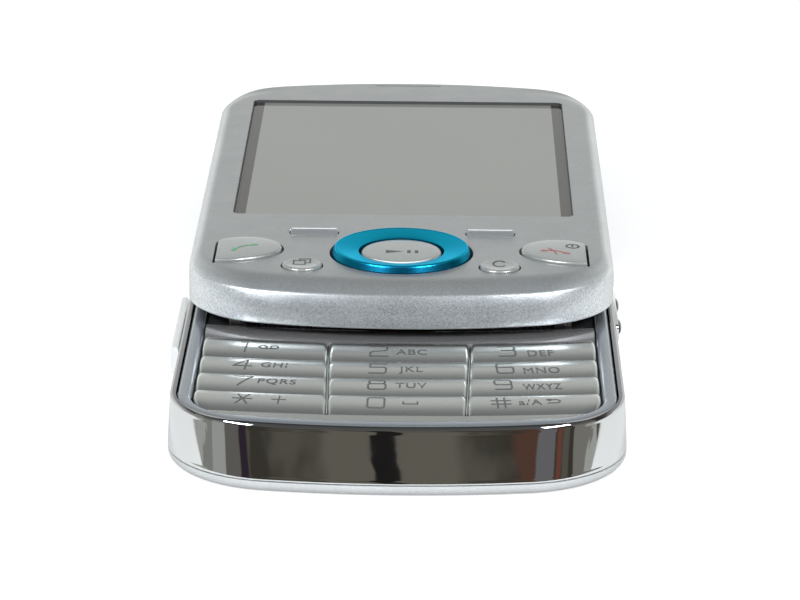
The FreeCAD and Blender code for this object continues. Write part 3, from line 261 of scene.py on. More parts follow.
def rolled_metal(name, colour, roughness):
    """Sheet metal with fine lines left along Y by the rolls."""
    paint = Paint(name, colour, roughness, 1.0)
    lines = paint.noise(400.0, 2.0, (12.0, 0.4, 1.0))
    paint.tint(lines, 0.08)
    paint.gloss(lines, roughness * 0.8, roughness * 1.3)
    paint.bump(lines, 0.000003)
    return paint.material


def mirror_chrome(name, colour, lean=0.0, painted_dark_rim_levels=None):
    """Chrome plate on plastic: a mirror with the slightest waviness.

    lean turns its face a little upwards; lip paints a darker grey rim between two levels, a painted
    reflection of the dark room."""
    paint = Paint(name, colour, 0.03, 1.0)
    bright = paint.tint(paint.noise(45.0), 0.02)
    # Painted reflection: above these levels the base colour turns a darker grey, standing for the dark room
    # that the rim reflects.
    if painted_dark_rim_levels:
        rim = paint.scaled(paint.split(paint.place)["Z"], 0.0, 1.0, *(level * MM for level in painted_dark_rim_levels))
        paint.feed("Base Color", paint.mixed(rim, bright, (0.40, 0.40, 0.40)))
    paint.gloss(paint.noise(350.0, 4.0), 0.015, 0.05)
    wavy = paint.bump(paint.noise(140.0, 1.0), 0.000002)
    turned = paint.vector("ADD", wavy, (0.0, 0.0, lean))
    paint.feed("Normal", paint.vector("NORMALIZE", turned))
    return paint.material


def display_paint(name, colour, roughness):
    """The unlit display under its window: a warm grey field between two brown-grey side bands."""
    paint = Paint(name, colour, roughness)
    band, dark, light = (0.030, 0.026, 0.023), (0.190, 0.190, 0.172), (0.202, 0.202, 0.183)
    sideways = paint.maths("ABSOLUTE", paint.split(paint.place)["X"])
    edges = DISPLAY_HALF_WIDTH * MM, (DISPLAY_HALF_WIDTH + 0.08) * MM
    clouds = paint.scaled(paint.noise(25.0, 2.0), 0.0, 1.0, *NOISE_SPAN)
    within = paint.scaled(sideways, 1.0, 0.0, *edges)
    paint.feed("Base Color", paint.mixed(within, band, paint.mixed(clouds, dark, light)))
    paint.gloss(paint.noise(200.0, 3.0), 0.07, 0.11)
    return paint.material


# Each maker with its paints: the values that it asks for, and what sets a paint apart.
PAINTS = {
    flake_paint: {
        # Painted light: flank brightens its sideways faces and front gives the near face a lighter bluish
        # tint, both standing for reflected light.
        "silver_paint": ((0.36, 0.37, 0.365), 0.33, 0.66, 0.27, 0.05, dict(
            flake=9500.0, flank=2.1, front=(0.37, 0.385, 0.397), level=0.35)),
        "key_silver": ((0.68, 0.70, 0.67), 0.18, 0.93, 0.04, 0.01, dict(coat=0.1)),
        "key_silver_upper": ((0.40, 0.415, 0.40), 0.30, 0.6, 0.08, 0.04, {}),
        "key_bright": ((0.37, 0.385, 0.39), 0.22, 0.6, 0.08, 0.03, {}),
        # Painted shade: front paints the ring's near face a darker teal and steep darkens its steep flank.
        "teal_metal": ((0.012, 0.47, 0.68), 0.25, 0.90, 0.04, 0.015, dict(
            coat=0.02, front=(0.012, 0.36, 0.69), steep=0.42, gleam=(0.05, 0.75, 0.95))),
        # A light grey used only for painted highlights: strips laid along the centre key's rim and the soft
        # keys' beads.
        "edge_silver": ((0.62, 0.64, 0.65), 0.25, 0.0, 0.02, 0.01, {}),
        "cover_silver": ((0.60, 0.61, 0.605), 0.33, 0.4, 0.06, 0.03, {}),
        "port_silver": ((0.86, 0.87, 0.86), 0.24, 0.4, 0.04, 0.02, {}),
        "bezel_grey": ((0.29, 0.32, 0.345), 0.20, 0.65, 0.06, 0.03, {}),
        "trim_grey": ((0.30, 0.30, 0.28), 0.33, 0.6, 0.06, 0.03, {}),
        "strip_grey": ((0.60, 0.585, 0.585), 0.20, 0.88, 0.03, 0.01, dict(coat=0.1)),
    },
    mirror_chrome: {
        "chrome": ((0.88, 0.88, 0.87), {}),
        # Its rim above 7.2 to 7.5 mm is painted darker grey: a painted reflection of the dark room.
        "band_chrome": ((0.88, 0.89, 0.88), dict(lean=0.13, painted_dark_rim_levels=(7.2, 7.5))),
        "chrome_keys": ((0.90, 0.91, 0.92), {}),
        # Chrome painted near-black for the volume domes: a painted reflection of the dark room.
        "dark_chrome": ((0.12, 0.12, 0.12), {}),
    },
    glossy_plastic: {"gloss_black": ((0.022, 0.018, 0.018), 0.08, {})},
    rolled_metal: {"steel": ((0.5, 0.5, 0.51), 0.3, {})},
    display_paint: {"window_glass": ((0.25, 0.25, 0.225), 0.10, {})},
    moulded: {
        "black_plastic": ((0.018, 0.018, 0.02), 0.5, {}),
        # A dark grey for the painted shade on the walls of the display window's recess.
        "gasket": ((0.05, 0.05, 0.05), 0.45, {}),
        "display": ((0.20, 0.20, 0.19), 0.3, {}),
        "board_green": ((0.01, 0.09, 0.04), 0.35, {}),
        "sheet_film": ((0.42, 0.22, 0.05), 0.3, {}),
        "silicone": ((0.6, 0.6, 0.58), 0.6, {}),
        "battery_wrap": ((0.05, 0.05, 0.055), 0.4, {}),
        "ink": ((0.075, 0.08, 0.075), 0.5, {}),
        "green_ink": ((0.08, 0.30, 0.13), 0.5, {}),
        "red_ink": ((0.36, 0.09, 0.08), 0.5, {}),
    },
}
MATERIALS = {name: make(name, *values, **more) for make, paints in PAINTS.items()
             for name, (*values, more) in paints.items()}

for entry in frame["record"]["subparts"]:
    NODES[entry["node"]].data.materials.clear()
    NODES[entry["node"]].data.materials.append(MATERIALS[entry["material_slot"]])
NODES["port_cover"].data.materials[0] = MATERIALS["port_silver"]


# ---- forms, all worked in millimetres

def reworked(mesh, step):
    """Change a mesh by a step that works on its editable form."""
    form = bmesh.new()
    form.from_mesh(mesh)
    step(form)
    form.to_mesh(mesh)
    form.free()


def smoothed(mesh, sharp):
    mesh.shade_smooth()
    mesh.set_sharp_from_angle(angle=radians(sharp))


def placed(name, data):
    """A new object in the scene."""
    made = bpy.data.objects.new(name, data)
    bpy.context.scene.collection.objects.link(made)
    return made


def mesh_of(name, points, faces):
    mesh = bpy.data.meshes.new(name)
    mesh.from_pydata([Vector(point) * MM for point in points], [], faces)
    return mesh


def made_piece(name, points, faces, paint, body, stands_for=(), sharp=40.0):
    """A smooth-shaded mesh that rides on a CAD body and takes the place of the nodes it stands for."""
    mesh = mesh_of(name, points, faces)
    mesh.validate()
    reworked(mesh, lambda form: bmesh.ops.recalc_face_normals(form, faces=form.faces))
    return dressed(name, mesh, paint, body, stands_for, sharp)


def dressed(name, mesh, paint, body, stands_for=(), sharp=40.0):
    mesh.materials.clear()
    mesh.materials.append(MATERIALS[paint])
    smoothed(mesh, sharp)
    made = placed(name, mesh)
    if isinstance(body, str):
        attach(made, body)
    else:
        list(body)
        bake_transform(made)
    if stands_for:
        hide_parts(*stands_for)
    return made


def skin(rings, closed=True, capped=False):
    """Quads from each ring to the next, with the first and last ring filled where capped."""
    count = len(rings[0])
    points = [point for ring in rings for point in ring]
    faces = []
    for start in range(0, count * (len(rings) - 1), count):
        for i in range(count if closed else count - 1):
            after = start + (i + 1) % count
            faces.append((start + i, after, after + count, start + i + count))
    if capped:
        faces.append(tuple(range(count)))
        faces.append(tuple(range(len(points) - count, len(points))))
    return points, faces


def arc(centre, radius, start, end, steps):
    """Points along an arc in a profile's plane, by its centre and angles in degrees."""
    angles = [radians(start + (end - start) * i / steps) for i in range(steps + 1)]
    return [(centre[0] + radius * cos(a), centre[1] + radius * sin(a)) for a in angles]


def rounded_box(centre, half, radius):
    """A box's outline in a profile's plane, by its centre, half its size and the radius of its corners."""
    outline = []
    for sign_x, sign_y, start in ((1, 1, 0), (-1, 1, 90), (-1, -1, 180), (1, -1, 270)):
        corner = (centre[0] + sign_x * (half[0] - radius), centre[1] + sign_y * (half[1] - radius))
        outline += arc(corner, radius, start, start + 90, 5)
    return outline


def quarter_turn(steps):
    """The angles of a quarter turn, without its start."""
    return [pi / 2 * i / steps for i in range(1, steps + 1)]


def full_turn(steps):
    return [2 * pi * i / steps for i in range(steps)]


def lathe(profile, centre, steps=96):
    """A profile of radius and height turned about the upright line through a centre."""
    return [[(centre[0] + r * sin(a), centre[1] - r * cos(a), z) for a in full_turn(steps)]
            for r, z in profile]


def phone_ring(half_width, half_length, corner, bow, level, y=0.0):
    """The phone's outline at one level: bowed ends, round corners, straight sides, always as many points."""
    end_steps, corner_steps, side_steps = 12, 20, 12
    reach = sqrt((bow - corner) ** 2 - (half_width - corner) ** 2)
    side_y = half_length - bow + reach
    lean = asin((half_width - corner) / (bow - corner))
    quarter = []
    for i in range(end_steps):
        a = lean * i / end_steps
        quarter.append((bow * sin(a), half_length - bow + bow * cos(a)))
    for i in range(corner_steps):
        a = lean + (pi / 2 - lean) * i / corner_steps
        quarter.append((half_width - corner + corner * sin(a), side_y + corner * cos(a)))
    for i in range(side_steps):
        quarter.append((half_width, side_y * (1 - i / side_steps)))
    right = quarter + [(half_width, 0.0)] + [(x, -v) for x, v in reversed(quarter)]
    left = [(-x, v) for x, v in reversed(right[1:-1])]
    return [(x, y + v, level) for x, v in right + left]


def cut_box(piece, low, high):
    """Cut a box, given by two corners, out of a piece."""
    form = bmesh.new()
    size = [(b - a) * MM for a, b in zip(low, high)]
    centre = Vector([(a + b) / 2 for a, b in zip(low, high)]) * MM
    bmesh.ops.create_cube(form, size=1.0, matrix=Matrix.Translation(centre) @ Matrix.Diagonal((*size, 1.0)))
    cut_with(piece, form)


def cut_bore(piece, centre, radius, depth):
    """Cut a round hole along Y out of a piece."""
    form = bmesh.new()
    turn = Matrix.Translation(Vector(centre) * MM) @ Matrix.Rotation(pi / 2, 4, "X")
    bmesh.ops.create_cone(form, cap_ends=True, segments=48, radius1=radius * MM, radius2=radius * MM,
                          depth=depth * MM, matrix=turn)
    cut_with(piece, form)


def cut_with(piece, form):
    mesh = bpy.data.meshes.new("cutter")
    form.to_mesh(mesh)
    form.free()
    cutter = placed("cutter", mesh)
    modifier = piece.modifiers.new("cut", "BOOLEAN")
    modifier.object = cutter
    modifier.solver = "EXACT"
    result = bpy.data.meshes.new_from_object(piece.evaluated_get(bpy.context.evaluated_depsgraph_get()))
    piece.modifiers.clear()
    piece.data = result
    bpy.data.objects.remove(cutter)


# ---- lower half

def chrome_band():
    """A mirror band round the lower half: a small upright foot, a face that leans in, a rounded rim."""
    foot, rim, rim_top, rim_in, rim_up = 1.84, 7.0, 7.78, 0.42, 0.78
    lean_side, lean_end, sharp = 0.28, 1.05, 30.0
    inner = Outline(24.95, 46.2, 10.0, 100.0)

    def at(level, side, end, corner):
        return phone_ring(BASE.half_width - side, BASE.half_length - end, corner, BASE.bow - end, level)

    rings = [at(level, inset, inset, corner) for level, inset, corner in (
        (1.38, 0.16, 12.9), (1.42, 0.06, 12.95), (1.5, 0.0, 13.0), (foot - 0.06, 0.0, 13.0))]
    for share in (0.0, 0.03, 0.25, 0.5, 0.75, 0.97, 1.0):
        inset = 0.85 * share + 0.15 * share * share
        rings.append(at(foot + (rim - foot) * share, lean_side * inset, 0.02 + lean_end * inset,
                        13.0 - inset))
    for a in quarter_turn(7):
        rounding = rim_in * (1 - cos(a))
        rings.append(at(rim + rim_up * sin(a), lean_side + rounding, lean_end + 0.02 + rounding,
                        12.0 - rounding))
    rings += [phone_ring(*inner, level) for level in (rim_top, 1.38)]
    band = made_piece("chrome_band_shell", *skin(rings + rings[:1]), "band_chrome", "lower_half",
                      ("chrome_band",), sharp)
    reworked(band.data, lambda form: bmesh.ops.remove_doubles(form, verts=form.verts, dist=1e-7))
    cut_box(band, (24.4, -2.1, 3.0), (27.0, 12.7, 5.4))         # volume rocker
    cut_box(band, (24.4, 19.7, 3.0), (27.0, 24.5, 5.4))         # camera key
    cut_box(band, (-27.0, -11.5, 2.7), (-24.0, -1.5, 5.3))      # system connector
    cut_bore(band, (13.0, 47.0, 4.1), 1.9, 6.0)                 # headphone jack
    smoothed(band.data, sharp)


def keypad_bezel():
    """The blue-grey frame round the keypad, rounded across its width."""
    profile = ((0.0, 6.7), (0.0, 7.2), (0.03, 7.42), (0.08, 7.58), (0.15, 7.69), (0.25, 7.76), (0.4, 7.80),
               (0.55, 7.81), (0.7, 7.80), (0.8, 7.77), (0.88, 7.69), (0.94, 7.56), (0.98, 7.38), (1.0, 7.2),
               (1.0, 6.7))
    rings = [phone_ring(*(inner + (outer - inner) * share for inner, outer in zip(WELL, BEZEL_OUTER)), level)
             for share, level in profile]
    made_piece("keypad_bezel_shell", *skin(rings + rings[:1]), "bezel_grey", "lower_half", ("keypad_bezel",))


def arc_y(x, radius):
    return KEY_CENTRE_Y - sqrt(radius * radius - x * x)


def side_limit(radius):
    """How far a key reaches sideways at one arc: the well's side, or its corner lower down."""
    gap = 0.18
    limit, corner = WELL.half_width - gap, WELL.corner - gap
    reach = sqrt((WELL.bow - WELL.corner) ** 2 - (WELL.half_width - WELL.corner) ** 2)
    corner_x, corner_y = WELL.half_width - WELL.corner, WELL.bow - WELL.half_length - reach
    low, high = corner_x, limit
    if arc_y(limit, radius) > corner_y:
        return limit
    for _ in range(30):
        x = (low + high) / 2
        if hypot(x - corner_x, arc_y(x, radius) - corner_y) < corner:
            low = x
        else:
            high = x
    return low


def seam_x(radius):
    """Half the middle column's width at one arc: the columns close in a little towards the near end."""
    return 8.28 - 0.5 * (radius - KEY_RADIUS) / (len(KEY_ROWS) * KEY_PITCH)


def seam_floor(side):
    """The thin silver web seen down between two columns of keys."""
    half_web, steps = 0.06, 40
    rings = []
    for level in (6.5, 7.3):
        ring = []
        for offset, places in ((-half_web, range(0, steps + 1)), (half_web, range(steps, -1, -1))):
            for i in places:
                radius = KEY_RADIUS - 0.7 + (len(KEY_ROWS) * KEY_PITCH) * i / steps
                x = seam_x(radius) * side + offset
                ring.append((x, arc_y(x, radius), level))
        rings.append(ring)
    made_piece(f"keypad_web_{'left' if side < 0 else 'right'}", *skin(rings, capped=True),
               "key_silver", "lower_half")


def eased(distance, radius):
    """How far a rounded edge has dropped, by the distance in from it."""
    if distance >= radius:
        return 0.0
    return radius - sqrt(radius * radius - (radius - distance) ** 2)


def steps_between(low, high, fine, count):
    """Places from low to high, close together near both ends."""
    near = [fine * (1 - cos(pi / 2 * i / 5)) for i in range(6)]
    middle_steps = [fine + (high - low - 2 * fine) * i / count for i in range(1, count)]
    offsets = near + middle_steps + [high - low - step for step in reversed(near)]
    return [low + offset for offset in offsets]


def number_key(label, row, column):
    """One key cap: an arc segment with a crowned top, and edges rounded off to a narrow gap."""
    gap, side_gap, edge, side_edge, corner = 0.06, 0.1, 0.32, 0.5, 0.7
    crown, far_drop, near_drop, first_reach, last_cut = 11.0, 0.14, 0.68, 0.85, 0.6
    last = row == len(KEY_ROWS) - 1
    far, near = KEY_RADIUS + KEY_PITCH * row + gap, KEY_RADIUS + KEY_PITCH * (row + 1) - gap
    if row == 0:
        far -= first_reach
    if last:
        near -= last_cut
    length = near - far
    tilt = asin((near_drop - far_drop) / length)
    half = length / 2 / cos(tilt)
    rise = sqrt(crown * crown - half * half)
    rings = []
    for radius in steps_between(far, near, edge, 14):
        outer, seam = side_limit(radius), seam_x(radius)
        sides = {-1: (-outer, -seam - side_gap), 0: (-seam + side_gap, seam - side_gap),
                 1: (seam + side_gap, outer)}[column]
        nip = 0.3 * eased(min(radius - far, 1.0 if last else near - radius), corner) / corner
        across = steps_between(sides[0] + nip, sides[1] - nip, side_edge, 14)
        s = radius - far
        top = KEY_LEVEL - far_drop - (near_drop - far_drop) * s / length
        top += sqrt(crown * crown - (s - length / 2) ** 2) - rise
        drop = max(eased(s, edge), eased(near - radius, 0.12 if last else edge))
        ring = []
        for x in across:
            side = eased(min(x - across[0], across[-1] - x), side_edge)
            ring.append((x, arc_y(x, radius), top - max(drop, side) - 0.35 * min(drop, side)))
        rings.append(ring)
    return skirted(f"key_{label}_cap", rings, 6.4, "key_silver", f"key_{label}")


def skirted(name, rings, level, paint, body):
    """A grid closed below its outer edge down to a level, so that it has sides and a base."""
    points, faces = skin(rings, closed=False)
    rows, count = len(rings), len(rings[0])
    edge = [*range(count), *(r * count + count - 1 for r in range(1, rows))]
    edge += [(rows - 1) * count + i for i in range(count - 2, -1, -1)]
    edge += [r * count for r in range(rows - 2, 0, -1)]
    base = len(points)
    points = points + [(points[i][0], points[i][1], level) for i in edge]
    for i in range(len(edge)):
        after = (i + 1) % len(edge)
        faces.append((edge[after], edge[i], base + i, base + after))
    faces.append(tuple(range(base, len(points))))
    return made_piece(name, points, faces, paint, body, (body,), 50.0)


# ---- printed marks

# Each sign's strokes, as points in hundredths of its box.
SIGNS = {
    "1": "30,100 64,100 64,0",
    "2": "4,100 85,100 96,88 96,62 82,50 18,42 4,30 4,0 100,0",
    "3": "6,100 84,100 94,90 94,62 84,52 20,52 / 84,52 96,42 96,10 86,0 6,0",
    "4": "68,0 68,100 0,30 100,30",
    "5": "95,100 8,100 8,56 85,56 95,46 95,10 85,0 5,0",
    "6": "92,100 15,100 5,90 5,10 15,0 85,0 95,10 95,46 85,56 5,56",
    "7": "0,100 96,100 30,0",
    "8": "15,54 8,64 8,92 18,100 82,100 92,92 92,64 85,54 15,54 3,44 3,10 13,0 87,0 97,10 97,44 85,54",
    "9": "8,0 85,0 95,10 95,90 85,100 15,100 5,90 5,54 15,44 95,44",
    "0": "15,0 5,10 5,90 15,100 85,100 95,90 95,10 85,0 15,0",
    "star": "0,50 100,50 / 20,6 80,94 / 20,94 80,6",
    "hash": "30,0 30,100 / 70,0 70,100 / 0,33 100,33 / 0,67 100,67",
    "plus": "0,50 100,50 / 50,0 50,100",
    "space": "0,60 0,15 100,15 100,60",
    "shift": "10,10 80,10 100,35 100,65 80,90 20,90 / 30,65 5,90 30,110",
}
SIGN_LINES = {key: [[tuple(int(v) / 100 for v in spot.split(",")) for spot in line.split()]
                    for line in text.split("/")] for key, text in SIGNS.items()}
SIGN_LINES["voice"] = [[(x + 0.2 * cos(i / 2), 0.4 + 0.4 * sin(i / 2)) for i in range(14)]
                       for x in (0.2, 0.8)] + [[(0.2, 0), (0.8, 0)]]
LETTERS = {"2": "ABC", "3": "DEF", "4": "GHI", "5": "JKL", "6": "MNO", "7": "PQRS", "8": "TUV", "9": "WXYZ",
           "hash": "a/A"}


def stroke(line, width):
    """A flat ribbon along a line, cut into short steps so that it can follow a curved surface."""
    points, faces = [], []
    for start, end in zip(line, line[1:]):
        a, b = Vector(start), Vector(end)
        way = (b - a).normalized()
        side = Vector((-way.y, way.x)) * width / 2
        a, b = a - way * width * 0.45, b + way * width * 0.45
        count = max(1, ceil((b - a).length / 0.35))
        base = len(points)
        for i in range(count + 1):
            spot = a.lerp(b, i / count)
            points += [spot - side, spot + side]
        faces += [(base + 2 * i, base + 2 * i + 2, base + 2 * i + 3, base + 2 * i + 1) for i in range(count)]
    return points, faces


def mark(name, outline_parts, surface, paint, body):
    """Lay flat outlines on a surface: every point drops on to it and stands a hair above."""
    lift, layer_lift, sky = 0.02, 0.0004, 40.0
    mesh = surface.data
    tree = BVHTree.FromPolygons([v.co for v in mesh.vertices], [p.vertices for p in mesh.polygons])
    points, faces = [], []
    for layer, (flat, flat_faces) in enumerate(outline_parts):
        base = len(points)
        for x, y in flat:
            hit = tree.ray_cast(Vector((x, y, sky)) * MM, Vector((0, 0, -1)))[0]
            points.append((x, y, hit.z / MM + lift + layer * layer_lift if hit else KEY_LEVEL))
        faces += [tuple(base + i for i in face) for face in flat_faces]
    return dressed(name, mesh_of(name, points, faces), paint, body)


def turned_to(x, y, centre, turn):
    cosine, sine = cos(turn), sin(turn)
    return centre[0] + x * cosine - y * sine, centre[1] + x * sine + y * cosine


def drawn(key, centre, size, width, turn):
    """A sign's strokes, carried from its unit box to their place on the phone."""
    lines = [[turned_to((u - 0.5) * size[0], (v - 0.5) * size[1], centre, turn) for u, v in line]
             for line in SIGN_LINES[key]]
    return [stroke(line, width) for line in lines]


def written(text, centre, height, stretch, turn):
    """Plain block letters as a flat mesh."""
    curve = bpy.data.curves.new("letters", "FONT")
    curve.body = text
    curve.size = height / 0.7
    curve.space_character = 1.12
    curve.align_x, curve.align_y = "CENTER", "CENTER"
    holder = bpy.data.objects.new("letters", curve)
    mesh = bpy.data.meshes.new_from_object(holder)
    bpy.data.objects.remove(holder)
    reworked(mesh, lambda form: bmesh.ops.triangulate(form, faces=form.faces))
    flat = [turned_to(vertex.co.x * stretch, vertex.co.y, centre, turn) for vertex in mesh.vertices]
    return [(flat, [tuple(p.vertices) for p in mesh.polygons])]


def key_marks(cap, label, row, column):
    """The digit and the small letters beside it, laid along the key's arc."""
    digit_size, digit_width, sign_width, letter_height = (2.1, 2.7), 0.22, 0.18, 1.42
    digit_x = {-1: -18.1 + 0.25 * row, 0: -2.35, 1: 12.5 - 0.28 * row}[column]
    letter_x = {-1: -14.75 + 0.5 * row, 0: 1.5, 1: 16.4}[column]
    letter_down = {-1: 2.5, 0: 2.8, 1: 3.35}[column]
    sunk = 0.25 if row < 2 else 0.05

    def spot(x, down):
        radius = KEY_RADIUS + KEY_PITCH * row + down
        return (x, arc_y(x, radius)), asin(x / radius)

    centre, turn = spot(digit_x, 2.45 + sunk)
    parts = drawn(label, centre, digit_size, digit_width, turn)
    centre, turn = spot(letter_x, letter_down + sunk)
    if label == "hash":
        centre, turn = spot(14.9, 2.65)
    if label in LETTERS:
        stretch = 0.68 if label == "9" else 0.86
        for shift in (-0.02, 0.02):
            parts += written(LETTERS[label], (centre[0] + shift, centre[1]), letter_height, stretch, turn)
    beside = {"1": ("voice", letter_x - 0.4, (2.2, 1.1)), "star": ("plus", letter_x, (1.5, 1.9)),
              "0": ("space", letter_x, (1.6, 1.2)), "hash": ("shift", 17.5, (1.5, 1.1))}.get(label)
    if beside:
        sign, x, size = beside
        centre, turn = spot(x, 2.45)
        parts += drawn(sign, centre, size, sign_width, turn)
    mark(f"key_{label}_marks", parts, cap, "ink", f"key_{label}")


def volume_rocker():
    """The rocker on the right side: a bright bar with two domes to press, their chrome painted near-black.
    """
    middle_y, middle_z, half_y, half_z, corner = 5.3, 4.2, 7.3, 1.1, 0.5
    dome_x, dome_rise, dome_long, dome_wide = 26.33, 0.44, 2.0, 0.75
    rings = []
    for x, inset in ((25.4, 0.0), (26.22, 0.0), (26.31, 0.04), (26.35, 0.14)):
        outline = rounded_box((middle_y, middle_z), (half_y - inset, half_z - inset), corner)
        rings.append([(x, *spot) for spot in outline])
    made_piece("volume_rocker_bar", *skin(rings, capped=True), "chrome_keys", "volume_rocker",
               ("volume_rocker",))
    # Painted reflection: the domes take chrome painted near-black, standing for the dark room they reflect.
    for name, y in (("down", 0.9), ("up", 9.3)):
        rings = [[(dome_x + dome_rise * sin(a), y + dome_long * cos(a) * cos(b),
                   middle_z + dome_wide * cos(a) * sin(b)) for b in full_turn(28)]
                 for a in (radians(d) for d in (-20, 0, 15, 30, 45, 60, 72, 82, 89))]
        made_piece(f"volume_{name}_dome", *skin(rings, capped=True), "dark_chrome", "volume_rocker")


def key_5_nub():
    """The small raised bar that a thumb finds on the middle key."""
    half_width, foot, rise, y = 0.65, 7.72, 0.16, -24.55
    profile = [(half_width, 7.5)] + [(half_width * cos(a), foot + rise * sin(a)) for a in
                                     (radians(d) for d in (0, 20, 40, 60, 75))] + [(0.01, foot + rise)]
    points, faces = skin(lathe(profile, (0.1, 0.0), 32), capped=True)
    made_piece("key_5_nub", [(x, y + v * 0.6, z) for x, v, z in points], faces, "key_silver_upper", "key_5")


chrome_band()
volume_rocker()
keypad_bezel()
for row, labels in enumerate(KEY_ROWS):
    for column, label in zip((-1, 0, 1), labels):
        key_marks(number_key(label, row, column), label, row, column)
seam_floor(-1)
seam_floor(1)
key_5_nub()


# ---- slider

def turned_piece(name, profile, centre, paint, body):
    return made_piece(name, *skin(lathe(profile, centre), capped=True), paint, body, (body,))


def nav_ring():
    """The teal ring: a dish towards the centre, a narrow rounded crest, and a steep outer flank."""
    hole, dish_edge, rim, foot, steps = 5.15, 7.59, 8.33, 13.0, 12
    dish = [(hole + (dish_edge - hole) * i / steps, 14.46 + 0.50 * (i / steps) ** 0.8)
            for i in range(steps + 1)]
    crest = arc((7.80, 14.72), 0.30, 128, 21, 9)
    flank = [(8.12, 14.73), (8.20, 14.52), (8.31, 14.23), (rim, 14.18), (rim, 14.15), (rim, 13.9)]
    profile = [(hole, foot)] + dish + crest + flank + [(rim, foot)]
    made_piece("nav_ring_face", *skin(lathe(profile + profile[:1], (0.0, RING_Y))), "teal_metal", "nav_ring",
               ("nav_ring",), 50.0)


def centre_key():
    """The round key inside the ring, with a painted highlight: a light grey strip along the near part of its
    rim, tapered at its ends.
    """
    edge, steps, top, crown = (4.41, 14.04), 18, 14.49, 0.09
    rings = []
    # Painted highlight: a strip laid a hair over the near part of the rim, standing for the glint there.
    for i in range(1 - steps, steps):
        turn, reach = radians(3 * i), 13 * cos(radians(90 * i / steps))
        rings.append([(r * sin(turn), RING_Y - r * cos(turn), z)
                      for r, z in arc(edge, 0.455, 56 - reach, 56 + reach, 4)])
    made_piece("centre_key_rim", *skin(rings, closed=False), "edge_silver", "centre_key", (), 60.0)
    profile = [(4.85, 12.9), (4.85, edge[1])] + arc(edge, 0.44, 8, 82, 9)
    profile += [(4.4 * (1 - i / 6), top + crown * (1 - (1 - i / 6) ** 2)) for i in range(1, 6)]
    return turned_piece("centre_key_cap", profile + [(0.02, 14.58)], (0.0, RING_Y), "key_silver_upper",
                        "centre_key")


def round_key(name, side):
    profile = [(2.35, 12.9), (2.35, 14.22)] + arc((2.05, 14.24), 0.3, 6, 90, 7)
    profile += [(1.8, 14.52), (1.5, 14.47), (0.8, 14.43), (0.02, 14.42)]
    centre = (11.75 * side, SLIDER_Y - 39.5)
    return turned_piece(f"{name}_cap", profile, centre, "key_silver_upper", name), centre


def flex_cable():
    """The film cable between the halves, baked in one shape; on the real phone its loop rolls along as the
    slider moves.
    """
    low_run, high_run, half_width, half_film, bend = 7.9, 8.5, 4.0, 0.06, 0.3
    low_end, high_end = -6.0, 9.9
    line = [(low_end, 5.8), (low_end, 6.8)] + arc((low_end + bend, low_run - bend), bend, 180, 90, 6)
    line += [(-5.0 + 2.0 * i, low_run) for i in range(9)] + arc((12.6, low_run + bend), bend, -90, 90, 16)
    line += [(11.4, high_run)] + arc((high_end + bend, high_run + bend), bend, 270, 180, 6)
    line += [(high_end, 9.9), (high_end, 10.9)]
    rings = []
    for i, (y, z) in enumerate(line):
        before, after = line[max(0, i - 1)], line[min(len(line) - 1, i + 1)]
        along = Vector((after[0] - before[0], after[1] - before[1])).normalized() * half_film
        rings.append([(x, y - side * along.y, z + side * along.x) for x, side in (
            (-half_width, -1), (half_width, -1), (half_width, 1), (-half_width, 1))])
    across = ("lower_half", "slider", (0.0, 0.0, (low_run + half_film) * MM),
              (0.0, 0.0, (high_run - half_film) * MM))
    made_piece("flex_cable_film", *skin(rings, capped=True), "sheet_film", across, ("flex_cable",), 50.0)


def window_recess_painted_shade():
    """Painted shade: a dark grey band lining the walls of the display window's recess, standing for the
    shade and dark reflection on those walls.
    """
    low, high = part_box("display_window")
    margin, corner, depth, rise, width = 0.05, 0.9, 0.1, 0.38, 0.1
    centre_y, level = (low.y + high.y) / 2 / MM, high.z / MM
    half_width, half_length = (high.x - low.x) / 2 / MM + margin, (high.y - low.y) / 2 / MM + margin
    rings = []
    for inset, above in ((0.0, -depth), (0.0, rise), (width, rise), (width, -depth)):
        half = (half_width - inset, half_length - inset)
        outline = rounded_box((0.0, centre_y), half, corner - inset)
        rings.append([(x, y, level + above) for x, y in outline])
    made_piece("window_recess_painted_shade", *skin(rings + rings[:1]), "gasket", "slider")


def turn_of(a, b, c):
    return (b[0] - a[0]) * (c[1] - a[1]) - (b[1] - a[1]) * (c[0] - a[0])


def outline_of(node, margin=0.0, above=0.35):
    """The outline of a convex node seen from above, from its top down to a depth, grown by a margin."""
    high = highest(node).z - above * MM
    spots = sorted({(round(v.co.x / MM, 3), round(v.co.y / MM, 3)) for v in NODES[node].data.vertices
                    if v.co.z > high})
    hull = []
    for points in (spots, spots[::-1]):
        side = []
        for spot in points:
            while len(side) > 1 and turn_of(side[-2], side[-1], spot) <= 1e-6:
                side.pop()
            side.append(spot)
        hull += side[:-1]
    grown = []
    for i, spot in enumerate(hull):
        before, here, after = (Vector(place) for place in (hull[i - 1], spot, hull[(i + 1) % len(hull)]))
        ways = [(here - before).normalized(), (after - here).normalized()]
        outward = (Vector((ways[0].y, -ways[0].x)) + Vector((ways[1].y, -ways[1].x))) / 2
        grown.append(here + outward * margin / max(0.3, outward.length_squared))
    return grown, Vector([sum(v) / len(hull) for v in zip(*hull)])


def cut_outline(piece, node, margin, above=0.35):
    """Cut a node's outline through the front cover."""
    outline = outline_of(node, margin, above)[0]
    rings = [[(x, y, level) for x, y in outline] for level in COVER_CUT]
    form = bmesh.new()
    form.from_mesh(mesh_of("prism", *skin(rings, capped=True)))
    bmesh.ops.recalc_face_normals(form, faces=form.faces)
    cut_with(piece, form)


